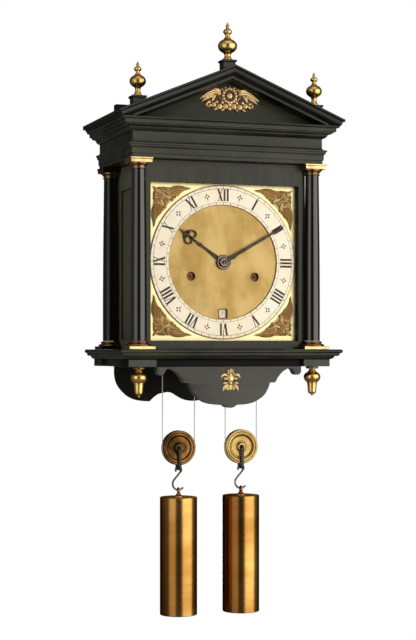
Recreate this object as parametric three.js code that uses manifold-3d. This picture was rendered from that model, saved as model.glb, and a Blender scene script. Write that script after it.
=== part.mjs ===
// Hooded wall clock with two weights, in millimetres.
// The origin is on the backboard's back face, on the clock's centre line, level with the top of the shelf.
// +Z is up, the dial faces -Y, and the wall is the plane y = 0.
import * as THREE from 'three';
import { mergeVertices } from 'three/addons/utils/BufferGeometryUtils.js';
import Module from 'manifold-3d';

const wasm = await Module();
wasm.setup();

// Driving dimensions

const GAP = 0.3; // clearance between pieces that touch
const DEG = Math.PI / 180;

// Columns stand at the four corners of the hood.
const COLUMN = { x: 126, frontY: -155, rearY: -18.5, height: 256.6 };
const BASE = { half: 18.1, plinth: 4.3, torus: 15.7, neck: 12.2, ring: 13.4, top: 11.5 };
const SHAFT = { foot: 10.9, head: 9.4 };
const CAPITAL = { half: 15.6, abacus: 7, echinus: 13.8, neck: 10, height: 15 };

// The hood is a box, open below and behind, that lifts off the shelf.
const HOOD = { half: 114.8, wall: 6.5, front: -150.6, panel: 5.1, back: -14.5, top: COLUMN.height };
const HOOD_INNER = HOOD.half - HOOD.wall;
const DIAL_OPENING = { half: 107.6, bottom: 11.9, top: 226.1, lap: 1.3, rebate: 2 };
const SIDE_WINDOW = { front: -127, back: -32, bottom: 14, top: 223, lap: 2.5, inset: 1.3 };
const GLASS = 2;
// Upright strips on the hood's sides, close behind the front columns
const STRIP = { outer: 123, front: -136.6, back: -129 };

// Entablature and pediment share one cornice line and one roof slope.
const FRIEZE = { half: 137, front: -164.5, bottom: 276.5, top: 292 };
const ENTABLATURE = { bottom: COLUMN.height + GAP, top: 308.7, inner: 116.4, board: 5, boardBack: -30 };
const CORNICE = { reach: 24.7, eaves: 317, base: 309 };
const SLOPE = 0.414; // rise of the roof for each unit towards the middle
const ROOF = { thickness: 6, back: -15 };
const TYMPANUM = { thickness: 10, bed: 305.3, ornamentZ: 340, ornament: 4.4 };
const WALL_EDGE = -0.5; // where the hood's mouldings stop short of the wall

// Turned finials on square pedestals
const FINIAL_Y = -157;
const PEDESTAL = { half: 8.6, capHalf: 10.2, cap: 3.2 };
const SIDE_FINIAL = { x: 128, z: 339, height: 46.5, ball: 11.1, ballHalf: 8.8, ballZ: 19.5, knop: 5.1 };
const CENTRE_FINIAL = { x: 0, z: 394.2, height: 52.1, ball: 13.2, ballHalf: 10.2, ballZ: 19.1, knop: 6 };

// Backboard, which hangs on the wall and carries everything else
const BACKBOARD = { half: 116, thickness: 14, top: 349.5, shoulder: -35, lobe: -74.6 };
const GUIDE = { inner: 97, front: -28, top: 330, grooveFront: -23.4, grooveBack: -18.2, depth: 4.4 };
const HANGING_HOLE = { radius: 5, z: 335 };

// Shelf with its moulded edge, and the apron under it
const SHELF = { half: 145.1, front: -172.5, bottom: -23.5, depth: 28 };
// Recesses between the shelf's corner blocks
const SHELF_RECESS = { half: 106.5, depth: 8, top: -13.8, sideDepth: 4, sideFront: -135, sideBack: -38 };
const SHELF_OPENING = { half: 80, front: -118, back: -28 };
const SHELF_BOARD = { thickness: 12, front: -143 };
const CHEEK = { inner: 84, outer: 94, front: -130, back: -16 };
const APRON = { front: -168, thickness: 14, top: -23.8, ornamentZ: -41, ornament: 2.6 };
const DROP = { disc: 8.5, neck: 4, bulge: 12, cup: 6.7, z: -23.8 };

// Movement
const SEATBOARD = { half: 102, front: -131, back: -52, bottom: 28, top: 38 };
const LINE_SLOT = { front: -104, back: -62, half: 5, hole: 1.6 };
const CENTRE_Z = 119.7;
const WINDING = { x: 46.5, z: 100, hole: 5.9 };
const PLATE = { half: 96, bottom: 38.3, top: 203, thickness: 3, frontY: -116, backY: -51 };
const PILLAR = { x: 88, low: 48, high: 193, radius: 4.5 };
const PIVOT = { radius: 1.2, hole: 1.7, depth: 2 };
const PIVOT_FRONT = PLATE.frontY - PIVOT.depth;
const PIVOT_BACK = PLATE.backY - PLATE.thickness + PIVOT.depth;
const BARREL = { drum: 22.6, flange: 24, front: -100, back: -66, arbor: 3.2 };
const LINE = { radius: 0.7, wrap: 23.6, y: -85, knotZ: 42, knot: 2.6 };

// Going train: teeth and pitch radii follow from the centre distances
const GREAT = { teeth: 72, tip: 47.4, root: 44.8, front: -110, back: -107.5 };
const STRIKE_GREAT = { teeth: 48, tip: 30, root: 28 };
const CENTRE = { teeth: 72, tip: 26.7, root: 25, front: -104.5, back: -103 };
const LEAVES = 6; // of every pinion
const CENTRE_PINION = { tip: 4.9, root: 2.7 };
const CONTRATE_PINION = { tip: 2.75, root: 1.5 };
const CONTRATE = { z: 147.9, teeth: 60, inner: 18.6, outer: 21, web: -93.5, rim: -88, tip: -86.3 };
const CROWN = { y: LINE.y, teeth: 31, inner: 10.6, outer: 12, web: 183, rim: 189, tip: 192.6, foot: 160.3 };
const CROWN_PINION = { tip: 2.5, root: 1.4, bottom: 164, height: 8 };
const COCK = { half: 3, thickness: 4, headBottom: 176, headTop: 179 };
const VERGE = { z: 196, radius: 1.2, front: -115, back: -40, pallet: 3.1, palletReach: 11.3, lean: 50 };
const PENDULUM = { y: -44, length: 233, rod: 1.2, bob: 9.5, bobHalf: 14 };
const BELL = { y: -85, mouth: 35, bottom: 212, top: 242.7, wall: 2.2 };
const BELL_STAND = { x: -17, half: 3, thickness: 3, foot: 185 };
const HAMMER = { x: -60, z: 185, headX: -41.5, headZ: 217, head: 4.6 };

// Dial
const DIAL = { half: 108, front: -139, thickness: 2.5, hole: 5.4, footRadius: 3, footX: 82, footZ: 70 };
const CHAPTER = { inner: 78.5, outer: 105.4, thickness: 1.2 };
const SPANDREL = { edge: 104, reach: 48, ring: 112, thickness: 1.8 };
const CALENDAR = { inner: 63, outer: 80, thickness: 1, gap: 0.6, aperture: 12, z: 49 };
const MINUTE = { length: 100, angle: 60, hub: 6, bore: 2.1, pipe: 3, thickness: 1.6, front: -144.7, back: -124 };
const HOUR = { length: 78, angle: 305, hub: 10, bore: 3.4, pipe: 4.4, thickness: 1.2, front: -142.4, back: -121.5 };
const HOUR_WHEEL = { radius: 18, thickness: 1.6 };

// Weights
const PULLEY = { z: -137.5, radius: 24.3, groove: 22.4, half: 4.5, bore: 2.8 };
const STIRRUP = { gap: 1.2, strap: 1.8, barZ: -166.8, bar: 1.5, axle: 2.2 };
const HOOK = { wire: 1.1, topZ: -168, topR: 4.3, lowZ: -187.7, lowR: 8.6 };
const WEIGHT = { radius: 26, top: -206, bottom: -370, eyeZ: -197.6, eye: 3.8, eyeWire: 1.3 };

// Materials

const finish = (color, metalness, roughness, more = {}) =>
  new THREE.MeshStandardMaterial({ color, metalness, roughness, ...more });
const EBONY = finish(0x23241f, 0, 0.3);
const OAK = finish(0x5b4129, 0, 0.7);
const GILT = finish(0xd9a441, 1, 0.25);
const DIAL_BRASS = finish(0xd8b878, 1, 0.45);
const SILVERED = finish(0xe9dcc0, 0.7, 0.5);
const MOVEMENT_BRASS = finish(0xb98d3e, 1, 0.35);
const BELL_METAL = finish(0xb9a37a, 1, 0.3);
const STEEL = finish(0x4c4a47, 1, 0.35);
const BLUED = finish(0x24221f, 1, 0.35);
const WEIGHT_BRASS = finish(0xb07a2e, 1, 0.25);
const GUT = finish(0xa79b88, 0, 0.6);
const CLEAR = finish(0xe8f0ec, 0, 0.05, { transparent: true, opacity: 0.25 });

// Geometry helpers

// Strips a geometry to merged positions, drops flat triangles and turns its faces outwards.
function closed(geometry) {
  const bare = geometry.index ? geometry.toNonIndexed() : geometry.clone();
  for (const name of Object.keys(bare.attributes)) if (name !== 'position') bare.deleteAttribute(name);
  const merged = mergeVertices(bare, 1e-4);
  const at = merged.attributes.position;
  const [a, b, c] = [new THREE.Vector3(), new THREE.Vector3(), new THREE.Vector3()];
  const kept = [];
  let volume = 0;
  for (let i = 0; i < merged.index.count; i += 3) {
    const corner = [0, 1, 2].map((k) => merged.index.getX(i + k));
    if (new Set(corner).size < 3) continue;
    kept.push(corner);
    a.fromBufferAttribute(at, corner[0]);
    b.fromBufferAttribute(at, corner[1]);
    c.fromBufferAttribute(at, corner[2]);
    volume += a.dot(b.cross(c));
  }
  if (volume < 0) for (const corner of kept) corner.reverse();
  merged.setIndex(kept.flat());
  return merged;
}

// A closed mesh as a solid that can be joined and cut
function solid(geometry) {
  const mesh = closed(geometry);
  return new wasm.Manifold(new wasm.Mesh({
    numProp: 3,
    vertProperties: mesh.attributes.position.array,
    triVerts: new Uint32Array(mesh.index.array),
  }));
}

// A joined or cut solid back as a geometry
function geometryOf(made) {
  const mesh = made.getMesh();
  return new THREE.BufferGeometry()
    .setAttribute('position', new THREE.BufferAttribute(mesh.vertProperties, mesh.numProp))
    .setIndex(new THREE.BufferAttribute(mesh.triVerts, 1));
}

const join = (first, ...rest) => rest.reduce((sum, next) => sum.add(next), first);
const cut = (first, ...rest) => rest.reduce((left, next) => left.subtract(next), first);

// A box between two values on each axis
const box = (x0, x1, y0, y1, z0, z1) =>
  solid(new THREE.BoxGeometry(x1 - x0, y1 - y0, z1 - z0)
    .translate((x0 + x1) / 2, (y0 + y1) / 2, (z0 + z1) / 2));

// A turned body from [radius, height] points, about an upright axis
const turned = (points, sides = 16) =>
  solid(new THREE.LatheGeometry(points.map(([r, h]) => new THREE.Vector2(r, h)), sides).rotateX(90 * DEG));

// The same body about an axis along Y, its heights measured along +Y, standing at x and z
const turnedAlongY = (points, x, z, sides = 16) =>
  solid(new THREE.LatheGeometry(points.map(([r, h]) => new THREE.Vector2(r, h)), sides).translate(x, 0, z));

// A round bar along Y, and an upright one
const barY = (radius, x, z, y0, y1, sides = 12) =>
  turnedAlongY([[0, y0], [radius, y0], [radius, y1], [0, y1]], x, z, sides);
const barZ = (radius, x, y, z0, z1, sides = 12) =>
  solid(new THREE.CylinderGeometry(radius, radius, z1 - z0, sides)
    .rotateX(90 * DEG).translate(x, y, (z0 + z1) / 2));

// A flat plate from an outline in X and Z, from yFront back by its thickness
const plate = (outline, yFront, thickness, curveSegments = 6) =>
  solid(new THREE.ExtrudeGeometry(outline, { depth: thickness, bevelEnabled: false, curveSegments })
    .rotateX(90 * DEG).translate(0, yFront + thickness, 0));

// A shape from [x, z] points, running anticlockwise, with its holes running the other way
function outlineOf(points, ...holes) {
  const facing = (list, sign) => {
    const path = list.map(([x, z]) => new THREE.Vector2(x, z));
    return THREE.ShapeUtils.area(path) * sign < 0 ? path.reverse() : path;
  };
  const shape = new THREE.Shape(facing(points, 1));
  shape.holes = holes.map((hole) => new THREE.Path(facing(hole, -1)));
  return shape;
}

// Rings of points joined one to the next, with both ends closed unless the rings run round.
function skin(rings, flat, around = false) {
  const size = rings[0].length;
  const faces = [];
  const last = around ? rings.length : rings.length - 1;
  for (let i = 0; i < last; i += 1) {
    const [here, next] = [i * size, ((i + 1) % rings.length) * size];
    for (let k = 0; k < size; k += 1) {
      const m = (k + 1) % size;
      faces.push(here + k, here + m, next + m, here + k, next + m, next + k);
    }
  }
  if (!around) {
    const end = (rings.length - 1) * size;
    for (const [a, b, c] of THREE.ShapeUtils.triangulateShape(flat, [])) {
      faces.push(c, b, a, end + a, end + b, end + c);
    }
  }
  return new THREE.BufferGeometry()
    .setAttribute('position', new THREE.Float32BufferAttribute(rings.flat().flatMap((p) => p.toArray()), 3))
    .setIndex(faces);
}

const circle = (radius, sides) => Array.from({ length: sides }, (_, i) => {
  const angle = (2 * Math.PI * i) / sides;
  return new THREE.Vector2(radius * Math.cos(angle), radius * Math.sin(angle));
});

// A round wire along points [x, z] in the plane y, closed at both ends or run round into a ring
function wire(points, radius, y, sides = 8, around = false) {
  const section = circle(radius, sides);
  const count = points.length;
  const rings = points.map(([x, z], i) => {
    const before = points[around ? (i + count - 1) % count : Math.max(i - 1, 0)];
    const after = points[around ? (i + 1) % count : Math.min(i + 1, count - 1)];
    const across = new THREE.Vector2(-(after[1] - before[1]), after[0] - before[0]).normalize();
    return section.map((p) => new THREE.Vector3(x + across.x * p.x, y + p.y, z + across.y * p.x));
  });
  return skin(rings, section, around);
}

const arc = (x, z, radius, from, to, steps) => Array.from({ length: steps + 1 }, (_, i) => {
  const angle = (from + ((to - from) * i) / steps) * DEG;
  return [x + radius * Math.cos(angle), z + radius * Math.sin(angle)];
});

// A moulding carried round the left, front and right sides, mitred at the corners.
// Its section has [p, z] points, p outwards from a face half wide and front deep.
function moulding(section, half, front, back = WALL_EDGE) {
  const corners = [[-1, 0], [-1, 1], [1, 1], [1, 0]];
  const rings = corners.map(([side, isFront]) => section.map(([p, z]) =>
    new THREE.Vector3(side * (half + p), isFront ? front - p : back, z)));
  return solid(skin(rings, section.map(([p, z]) => new THREE.Vector2(p, z))));
}

// A wheel outline with pointed teeth, a space facing the angle phase
function wheelOutline(teeth, tip, root, phase) {
  const points = Array.from({ length: 2 * teeth }, (_, i) => {
    const angle = phase * DEG + (Math.PI * i) / teeth;
    const radius = i % 2 ? tip : root;
    return [radius * Math.cos(angle), radius * Math.sin(angle)];
  });
  return outlineOf(points);
}

// A pinion outline with narrow leaves, one of them facing the angle phase
function pinionOutline({ tip, root }, phase, half) {
  const points = [];
  for (let i = 0; i < LEAVES; i += 1) {
    const angle = phase * DEG + (2 * Math.PI * i) / LEAVES;
    for (const [radius, side] of [[root, -2], [tip, -1], [tip, 1], [root, 2]]) {
      const at = angle + (side * half) / radius;
      points.push([radius * Math.cos(at), radius * Math.sin(at)]);
    }
  }
  return outlineOf(points);
}

// A flat wheel or pinion on an axis along Y
const gear = (outline, x, z, front, back) => plate(outline, front, back - front).translate([x, 0, z]);

// A cup with pointed teeth round its rim, as on a contrate or crown wheel, about an upright axis
function cupWheel({ teeth, inner, outer, web, rim, tip }, floor = 1.5) {
  const rings = Array.from({ length: 2 * teeth }, (_, i) => {
    const angle = (Math.PI * i) / teeth;
    const top = i % 2 ? tip : rim;
    const section = [[0, web], [outer, web], [outer, top], [inner, top], [inner, web + floor], [0, web + floor]];
    return section.map(([r, z]) => new THREE.Vector3(r * Math.cos(angle), r * Math.sin(angle), z));
  });
  return solid(skin(rings, null, true));
}

// Scene graph

const clock = new THREE.Group();
const caseGroup = new THREE.Group();
const hoodGroup = new THREE.Group();
const dialGroup = new THREE.Group();
const movementGroup = new THREE.Group();
const driveGroup = new THREE.Group();
clock.add(caseGroup, hoodGroup, dialGroup, movementGroup, driveGroup);

function piece(group, name, shape, material, position = [0, 0, 0]) {
  const mesh = new THREE.Mesh(closed(shape.isBufferGeometry ? shape : geometryOf(shape)), material);
  mesh.name = name;
  mesh.position.set(...position);
  group.add(mesh);
  return mesh;
}

// Case

// Backboard: a plank with a lobed lower end, and the two grooved guides that the hood slides on
function backboard() {
  const b = BACKBOARD;
  const right = [
    [b.half, b.top],
    [b.half, b.shoulder], [114.6, -43.8], [110.8, -52.4], [104.8, -60], [96.8, -67], [87.6, -71.6], [77.1, -74],
    [66, b.lobe], [62.3, -70.7], [54.3, -64.9], [46, -62.6], [38.4, -61.7], [29.3, -63.2], [20.2, -68.6],
    [11, -72.9], [3, b.lobe],
  ];
  const left = right.map(([x, z]) => [-x, z]).reverse();
  const hole = arc(0, HANGING_HOLE.z, HANGING_HOLE.radius, 0, 337.5, 15);
  const plank = plate(outlineOf([...right, ...left], hole), -b.thickness, b.thickness);
  const g = GUIDE;
  const outer = HOOD_INNER - 0.5;
  const guide = cut(
    box(g.inner, outer, g.front, -b.thickness + 1, SEATBOARD.top, g.top),
    box(outer - g.depth, outer + 1, g.grooveFront, g.grooveBack, SEATBOARD.top - 1, g.top + 1),
  );
  return join(plank, guide, guide.mirror([1, 0, 0]));
}

// Shelf: moulded edge on three sides, board with the opening for the lines, and the two cheeks
function shelf() {
  const s = SHELF;
  const edge = [
    [-s.depth, s.bottom], [0, s.bottom], [0, -13.3], [2.2, -12.6], [4.1, -11.2], [5.1, -9.6], [8.4, -9.2],
    [9.7, -8.3], [10.4, -5.6], [13.3, -4.4], [13.9, -2.4], [13.3, -GAP], [-s.depth, -GAP],
  ];
  const inner = s.half - s.depth;
  const board = cut(
    box(-inner - 1, inner + 1, SHELF_BOARD.front - 3, -BACKBOARD.thickness - GAP, -SHELF_BOARD.thickness, -GAP),
    box(-SHELF_OPENING.half, SHELF_OPENING.half, SHELF_OPENING.front, SHELF_OPENING.back, -50, 5),
  );
  const r = SHELF_RECESS;
  const sideRecess = box(s.half - r.sideDepth, s.half + 1, r.sideFront, r.sideBack, s.bottom - 1, r.top);
  const frontRecess = box(-r.half, r.half, s.front - 1, s.front + r.depth, s.bottom - 1, r.top);
  const c = CHEEK;
  const cheek = (side) => {
    const [x0, x1] = side > 0 ? [c.inner, c.outer] : [-c.outer, -c.inner];
    return box(x0, x1, c.front, c.back, -1, SEATBOARD.bottom - GAP);
  };
  const made = join(moulding(edge, s.half, s.front), board, cheek(-1), cheek(1));
  return cut(made, frontRecess, sideRecess, sideRecess.mirror([1, 0, 0]));
}

// Apron: scrolled board under the front of the shelf
function apron() {
  const a = APRON;
  const right = [
    [104.3, a.top], [104.3, -29.5], ...arc(98.8, -29.5, 5.5, -30, -150, 4),
    [90.4, -29], [87.4, -25.9], [83.9, -26.5], [76.4, -31.2], [70, -38.2], [65.8, -44.9], [58.3, -45.3],
    [55.1, -53.9], [48.7, -63.4], [35.9, -71.4], [24, -74.6], [9.3, -75.6], [6.2, -78], [0, -79.5],
  ];
  const left = right.slice(0, -1).map(([x, z]) => [-x, z]).reverse();
  return plate(outlineOf([...right, ...left]), a.front, a.thickness);
}

// Acorn drop under a corner block
function acornDrop() {
  const d = DROP;
  return turned([
    [0, -40.7], [2.4, -39.6], [5.2, -36.4], [d.cup, -31], [d.cup, -25.4], [d.cup + 1.2, -24.4], [9.6, -22.6],
    [d.bulge, -18.4], [10.6, -14.2], [6.4, -10.4], [d.neck, -8], [d.neck, -5.4], [6, -3.4], [d.disc, -2.8],
    [d.disc, 0], [0, 0],
  ], 12);
}

// Small gilt ornament on the apron: a stem between paired leaves under a bud
function apronOrnament() {
  const right = [
    [2, 17], [4.6, 12], [3.2, 8.4], [8, 10.2], [13, 8.6], [13.6, 3], [10.2, 4.4], [8.2, 0.6], [11.6, -2.6],
    [9.4, -6.2], [12.4, -11.4], [11, -16.4], [6.4, -13.2], [3, -17],
  ];
  const left = right.map(([x, z]) => [-x, z]).reverse();
  return plate(outlineOf([...right, ...left]), -APRON.ornament, APRON.ornament);
}

// Hood

function hoodBody() {
  const h = HOOD;
  const o = DIAL_OPENING;
  const w = SIDE_WINDOW;
  const front = cut(
    box(-h.half, h.half, h.front, h.front + h.panel, 0, h.top),
    box(-o.half, o.half, h.front - 1, h.front + h.panel + 1, o.bottom, o.top),
    box(-o.half - o.lap, o.half + o.lap, h.front + o.rebate, h.front + h.panel + 1,
      o.bottom - o.lap, o.top + o.lap),
  );
  const wall = cut(
    box(HOOD_INNER, h.half, h.front + h.panel - 0.5, h.back, 0, h.top),
    box(HOOD_INNER - 1, h.half + 1, w.front, w.back, w.bottom, w.top),
    box(HOOD_INNER - 1, HOOD_INNER + w.inset + GLASS + GAP, w.front - w.lap, w.back + w.lap,
      w.bottom - w.lap, w.top + w.lap),
  );
  const g = GUIDE;
  const tongue = box(HOOD_INNER - g.depth, HOOD_INNER + 1, g.grooveFront + 0.6, g.grooveBack - 0.6,
    SEATBOARD.top + 2, h.top);
  const strip = box(h.half - 1, STRIP.outer, STRIP.front, STRIP.back, 0, h.top);
  const side = join(wall, tongue, strip);
  return join(front, side, side.mirror([1, 0, 0]));
}

const frontGlass = () => {
  const { half, lap, bottom, top, rebate } = DIAL_OPENING;
  const y = HOOD.front + rebate + GAP;
  const edge = half + lap - GAP;
  return box(-edge, edge, y, y + GLASS, bottom - lap + GAP, top + lap - GAP);
};

const sideGlass = (side) => {
  const w = SIDE_WINDOW;
  const reach = w.lap - GAP;
  const x = HOOD_INNER + w.inset;
  const pane = box(x, x + GLASS, w.front - reach, w.back + reach,
    w.bottom - reach, w.top + reach);
  return side > 0 ? pane : pane.mirror([1, 0, 0]);
};

// Architrave, frieze and lower cornice, with the board that closes the hood above the movement
function entablature() {
  const e = ENTABLATURE;
  const f = FRIEZE;
  const inner = e.inner - f.half;
  const section = [
    [inner, e.bottom], [0.5, e.bottom], [0.5, 261.8], [1.6, 262.2], [2, 269.6], [3.4, 270.4], [4.2, 273.2],
    [5.4, 274], [5.4, f.bottom - 0.6], [0, f.bottom], [0, f.top], [2.6, 293.4], [6, 296.4], [10.6, 298.6],
    [12, 299.5], [15, 301.5], [15.8, 306], [18.6, 307], [19.2, e.top], [inner, e.top],
  ];
  const board = box(-e.inner - 1, e.inner + 1, f.front + 20, e.boardBack, e.bottom, e.bottom + e.board);
  return join(moulding(section, f.half, f.front), board);
}

// Pediment: raking cornice, tympanum, gabled roof and the pedestals of the three finials
function pediment() {
  const f = FRIEZE;
  const c = CORNICE;
  const section = [
    [-9, 303], [0, TYMPANUM.bed], [6, 304.6], [11.4, 304.9], [12, 304.2], [15, 303.6], [15.8, 306.8],
    [18.4, 308.2], [20.4, 309.4], [21.6, 312], [23.6, 314], [c.reach, 315], [c.reach, c.eaves], [-9, 331],
  ];
  const stations = [[-1, 0, 0], [-1, 1, 0], [0, 1, 1], [1, 1, 0], [1, 0, 0]];
  const rings = stations.map(([side, isFront, isApex]) => section.map(([p, z]) => {
    const rise = isApex * SLOPE * (f.half + p);
    return new THREE.Vector3(side * (f.half + p), isFront ? f.front - p : WALL_EDGE, z + rise);
  }));
  const rake = solid(skin(rings, section.map(([p, z]) => new THREE.Vector2(p, z))));
  const eave = f.half + c.reach;
  const gable = (half, z) => outlineOf([[-half, z], [0, z + SLOPE * half], [half, z]]);
  const tympanum = plate(gable(eave, c.eaves - ROOF.thickness), f.front, TYMPANUM.thickness);
  const slab = cut(
    plate(gable(eave, c.eaves), f.front + 1, WALL_EDGE - f.front - 1),
    plate(gable(eave + 1, c.eaves - ROOF.thickness - 0.4), f.front + TYMPANUM.thickness, 200),
    box(-ENTABLATURE.inner, ENTABLATURE.inner, ROOF.back, 1, 280, 420),
  );
  const pedestal = ({ x, z }) => {
    const { half, capHalf, cap } = PEDESTAL;
    const foot = c.eaves + SLOPE * (eave - Math.abs(x) - (x ? half : 0)) - ROOF.thickness / 2;
    return join(
      box(x - half, x + half, FINIAL_Y - half, FINIAL_Y + half, foot, z - cap + 0.1),
      box(x - capHalf, x + capHalf, FINIAL_Y - capHalf, FINIAL_Y + capHalf, z - cap, z),
    );
  };
  return cut(
    join(rake, tympanum, slab, pedestal(CENTRE_FINIAL), pedestal(SIDE_FINIAL),
      pedestal({ ...SIDE_FINIAL, x: -SIDE_FINIAL.x })),
    box(-200, 200, -260, 60, 250, c.base),
  );
}

// The bases and capitals are cut back where the hood's corner, or behind it the backboard, passes through them.
const hoodCorner = (x, y) => {
  const atFront = y < -100;
  const edge = (atFront ? HOOD.half : BACKBOARD.half) + GAP;
  const front = atFront ? HOOD.front - GAP : y - 100;
  return x > 0 ? box(0, edge, front, 50, -1, 300) : box(-edge, 0, front, 50, -1, 300);
};

function columnBase(x, y) {
  const b = BASE;
  const rings = turned([
    [0, b.plinth - 1], [b.torus - 0.5, b.plinth - 1], [b.torus, 5.8], [b.torus - 1, 7.2], [b.neck, 7.8],
    [b.neck, 8.4], [b.ring, 9], [b.ring, 10], [11.6, 10.6], [11.6, b.top], [0, b.top],
  ], 14).translate([x, y, 0]);
  const plinth = box(x - b.half, x + b.half, y - b.half, y + b.half, 0, b.plinth);
  return cut(join(plinth, rings), hoodCorner(x, y));
}

function columnShaft(x, y) {
  const s = SHAFT;
  const [z0, z1] = [BASE.top + GAP, COLUMN.height - CAPITAL.height - GAP];
  const third = z0 + (z1 - z0) / 3;
  return turned([[0, z0], [s.foot, z0], [s.foot - 0.1, third], [10.3, (third + z1) / 2], [s.head, z1], [0, z1]],
    18).translate([x, y, 0]);
}

function columnCapital(x, y) {
  const c = CAPITAL;
  const [z0, z1] = [COLUMN.height - c.height, COLUMN.height - c.abacus];
  const rings = turned([
    [0, z0], [c.neck, z0], [c.neck + 0.9, z0 + 0.9], [c.neck, z0 + 1.9], [c.neck - 0.3, z0 + 3.6],
    [11.2, z0 + 4.4], [c.echinus, z1 - 1.2], [c.echinus, z1 + 1], [0, z1 + 1],
  ], 14).translate([x, y, 0]);
  const abacus = join(
    box(x - c.half + 0.9, x + c.half - 0.9, y - c.half + 0.9, y + c.half - 0.9, z1, COLUMN.height - 1.8),
    box(x - c.half, x + c.half, y - c.half, y + c.half, COLUMN.height - 2, COLUMN.height),
  );
  return cut(join(abacus, rings), hoodCorner(x, y));
}

// Turned finial: foot, neck, flattened ball, knop and tip
function finial({ height, ball, ballHalf, ballZ, knop }) {
  const scale = height / CENTRE_FINIAL.height;
  const ballArc = arc(0, ballZ, 1, -62, 62, 6).map(([c, s]) => [ball * c, ballZ + ballHalf * (s - ballZ)]);
  const knopZ = 37.8 * scale;
  const knopArc = arc(0, 0, 1, -55, 50, 3).map(([c, s]) => [knop * c, knopZ + 0.8 * knop * s]);
  return turned([
    [0, 0], [6.6 * scale, 0], [6.6 * scale, 1.6], [5.4 * scale, 3.6], [3.4 * scale, 6 * scale],
    [4 * scale, 7.2 * scale], ...ballArc, [3.6 * scale, ballZ + ballHalf], [3.2 * scale, knopZ - knop * 0.8],
    ...knopArc, [2.8 * scale, 45 * scale], [2.2 * scale, 49 * scale], [0, height],
  ], 12);
}

// Gilt ornament in the pediment: a wide spray of leaves each side of a low mound
function pedimentOrnament() {
  const right = [
    [0, 17], [6, 15.4], [8.6, 10.2], [15, 12.6], [21, 10.4], [23.4, 5], [30, 6.2], [36, 2.4], [42, -1.8],
    [40.4, -7.4], [34, -6.6], [31, -12.6], [24, -10.8], [19, -16.2], [11.6, -13.4], [6, -17],
  ];
  const left = right.slice(1).map(([x, z]) => [-x, z]).reverse();
  return plate(outlineOf([...right, [0, -14.6], ...left]), -TYMPANUM.ornament, TYMPANUM.ornament);
}

// Dial

function dialPlate() {
  const d = DIAL;
  const back = d.front + d.thickness;
  const hole = (radius, x, z) => barY(radius, x, z, d.front - 1, back + 1, 16);
  const sheet = cut(
    box(-d.half, d.half, d.front, back, CENTRE_Z - d.half, CENTRE_Z + d.half),
    hole(d.hole, 0, CENTRE_Z),
    hole(WINDING.hole, -WINDING.x, WINDING.z),
    hole(WINDING.hole, WINDING.x, WINDING.z),
    box(-CALENDAR.aperture / 2, CALENDAR.aperture / 2, d.front - 1, back + 1,
      CALENDAR.z - CALENDAR.aperture / 2, CALENDAR.z + CALENDAR.aperture / 2),
  );
  const feet = [[-1, -1], [-1, 1], [1, -1], [1, 1]].map(([sx, sz]) =>
    barY(d.footRadius, sx * d.footX, CENTRE_Z + sz * d.footZ, back - 1, PLATE.frontY - PLATE.thickness - GAP, 8));
  return join(sheet, ...feet);
}

// A flat ring about the dial's centre
const flatRing = (inner, outer, front, thickness, sides) =>
  turnedAlongY([[inner, front], [outer, front], [outer, front + thickness], [inner, front + thickness],
    [inner, front]], 0, CENTRE_Z, sides);

// Corner casting, drawn for the upper right corner and turned to the others
function spandrel(sx, sz) {
  const s = SPANDREL;
  const inner = arc(0, 0, s.ring, 25.4, 64.6, 8);
  const shape = outlineOf([[s.edge, s.edge], [s.reach, s.edge], ...inner.reverse(), [s.edge, s.reach]]);
  const made = plate(shape, DIAL.front - GAP - s.thickness, s.thickness);
  return made.scale([sx, 1, sz]).translate([0, 0, CENTRE_Z]);
}

// Minute hand: long blade on a hub, with the pipe that carries it
function minuteHand() {
  const m = MINUTE;
  const blade = outlineOf([[-2.3, 4], [-1.9, 40], [-1.2, m.length - 12], [0, m.length], [1.2, m.length - 12],
    [1.9, 40], [2.3, 4]]);
  const made = plate(blade, m.front, m.thickness).rotate([0, m.angle, 0]);
  const hub = turnedAlongY([[m.bore, m.front], [m.hub, m.front], [m.hub, m.front + m.thickness],
    [m.pipe, m.front + m.thickness], [m.pipe, m.back], [m.bore, m.back], [m.bore, m.front]], 0, 0, 12);
  const bore = barY(m.bore, 0, 0, m.front - 1, 0, 12);
  return join(cut(made, bore), hub).translate([0, 0, CENTRE_Z]);
}

// Hour hand: stem with two side scrolls near the point, on a broad hub, its pipe and the hour wheel
function hourHand() {
  const h = HOUR;
  const stem = outlineOf([[-2.4, 6], [-1.7, 30], [-1.5, 52], [-1.6, 66], [0, h.length], [1.6, 66], [1.5, 52],
    [1.7, 30], [2.4, 6]]);
  const loop = (side) =>
    plate(outlineOf(arc(side * 6, 59, 6.2, 0, 324, 9), arc(side * 6, 59, 4.1, 0, 324, 9)), h.front, h.thickness);
  const made = join(plate(stem, h.front, h.thickness), loop(-1), loop(1)).rotate([0, h.angle, 0]);
  const wheelFront = h.back - HOUR_WHEEL.thickness;
  const hub = turnedAlongY([[h.bore, h.front], [h.hub, h.front], [h.hub, h.front + h.thickness],
    [h.pipe, h.front + h.thickness], [h.pipe, wheelFront], [HOUR_WHEEL.radius, wheelFront],
    [HOUR_WHEEL.radius, h.back], [h.bore, h.back], [h.bore, h.front]], 0, 0, 14);
  const bore = barY(h.bore, 0, 0, h.front - 1, 0, 14);
  return join(cut(made, bore), hub).translate([0, 0, CENTRE_Z]);
}

// Movement

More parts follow.
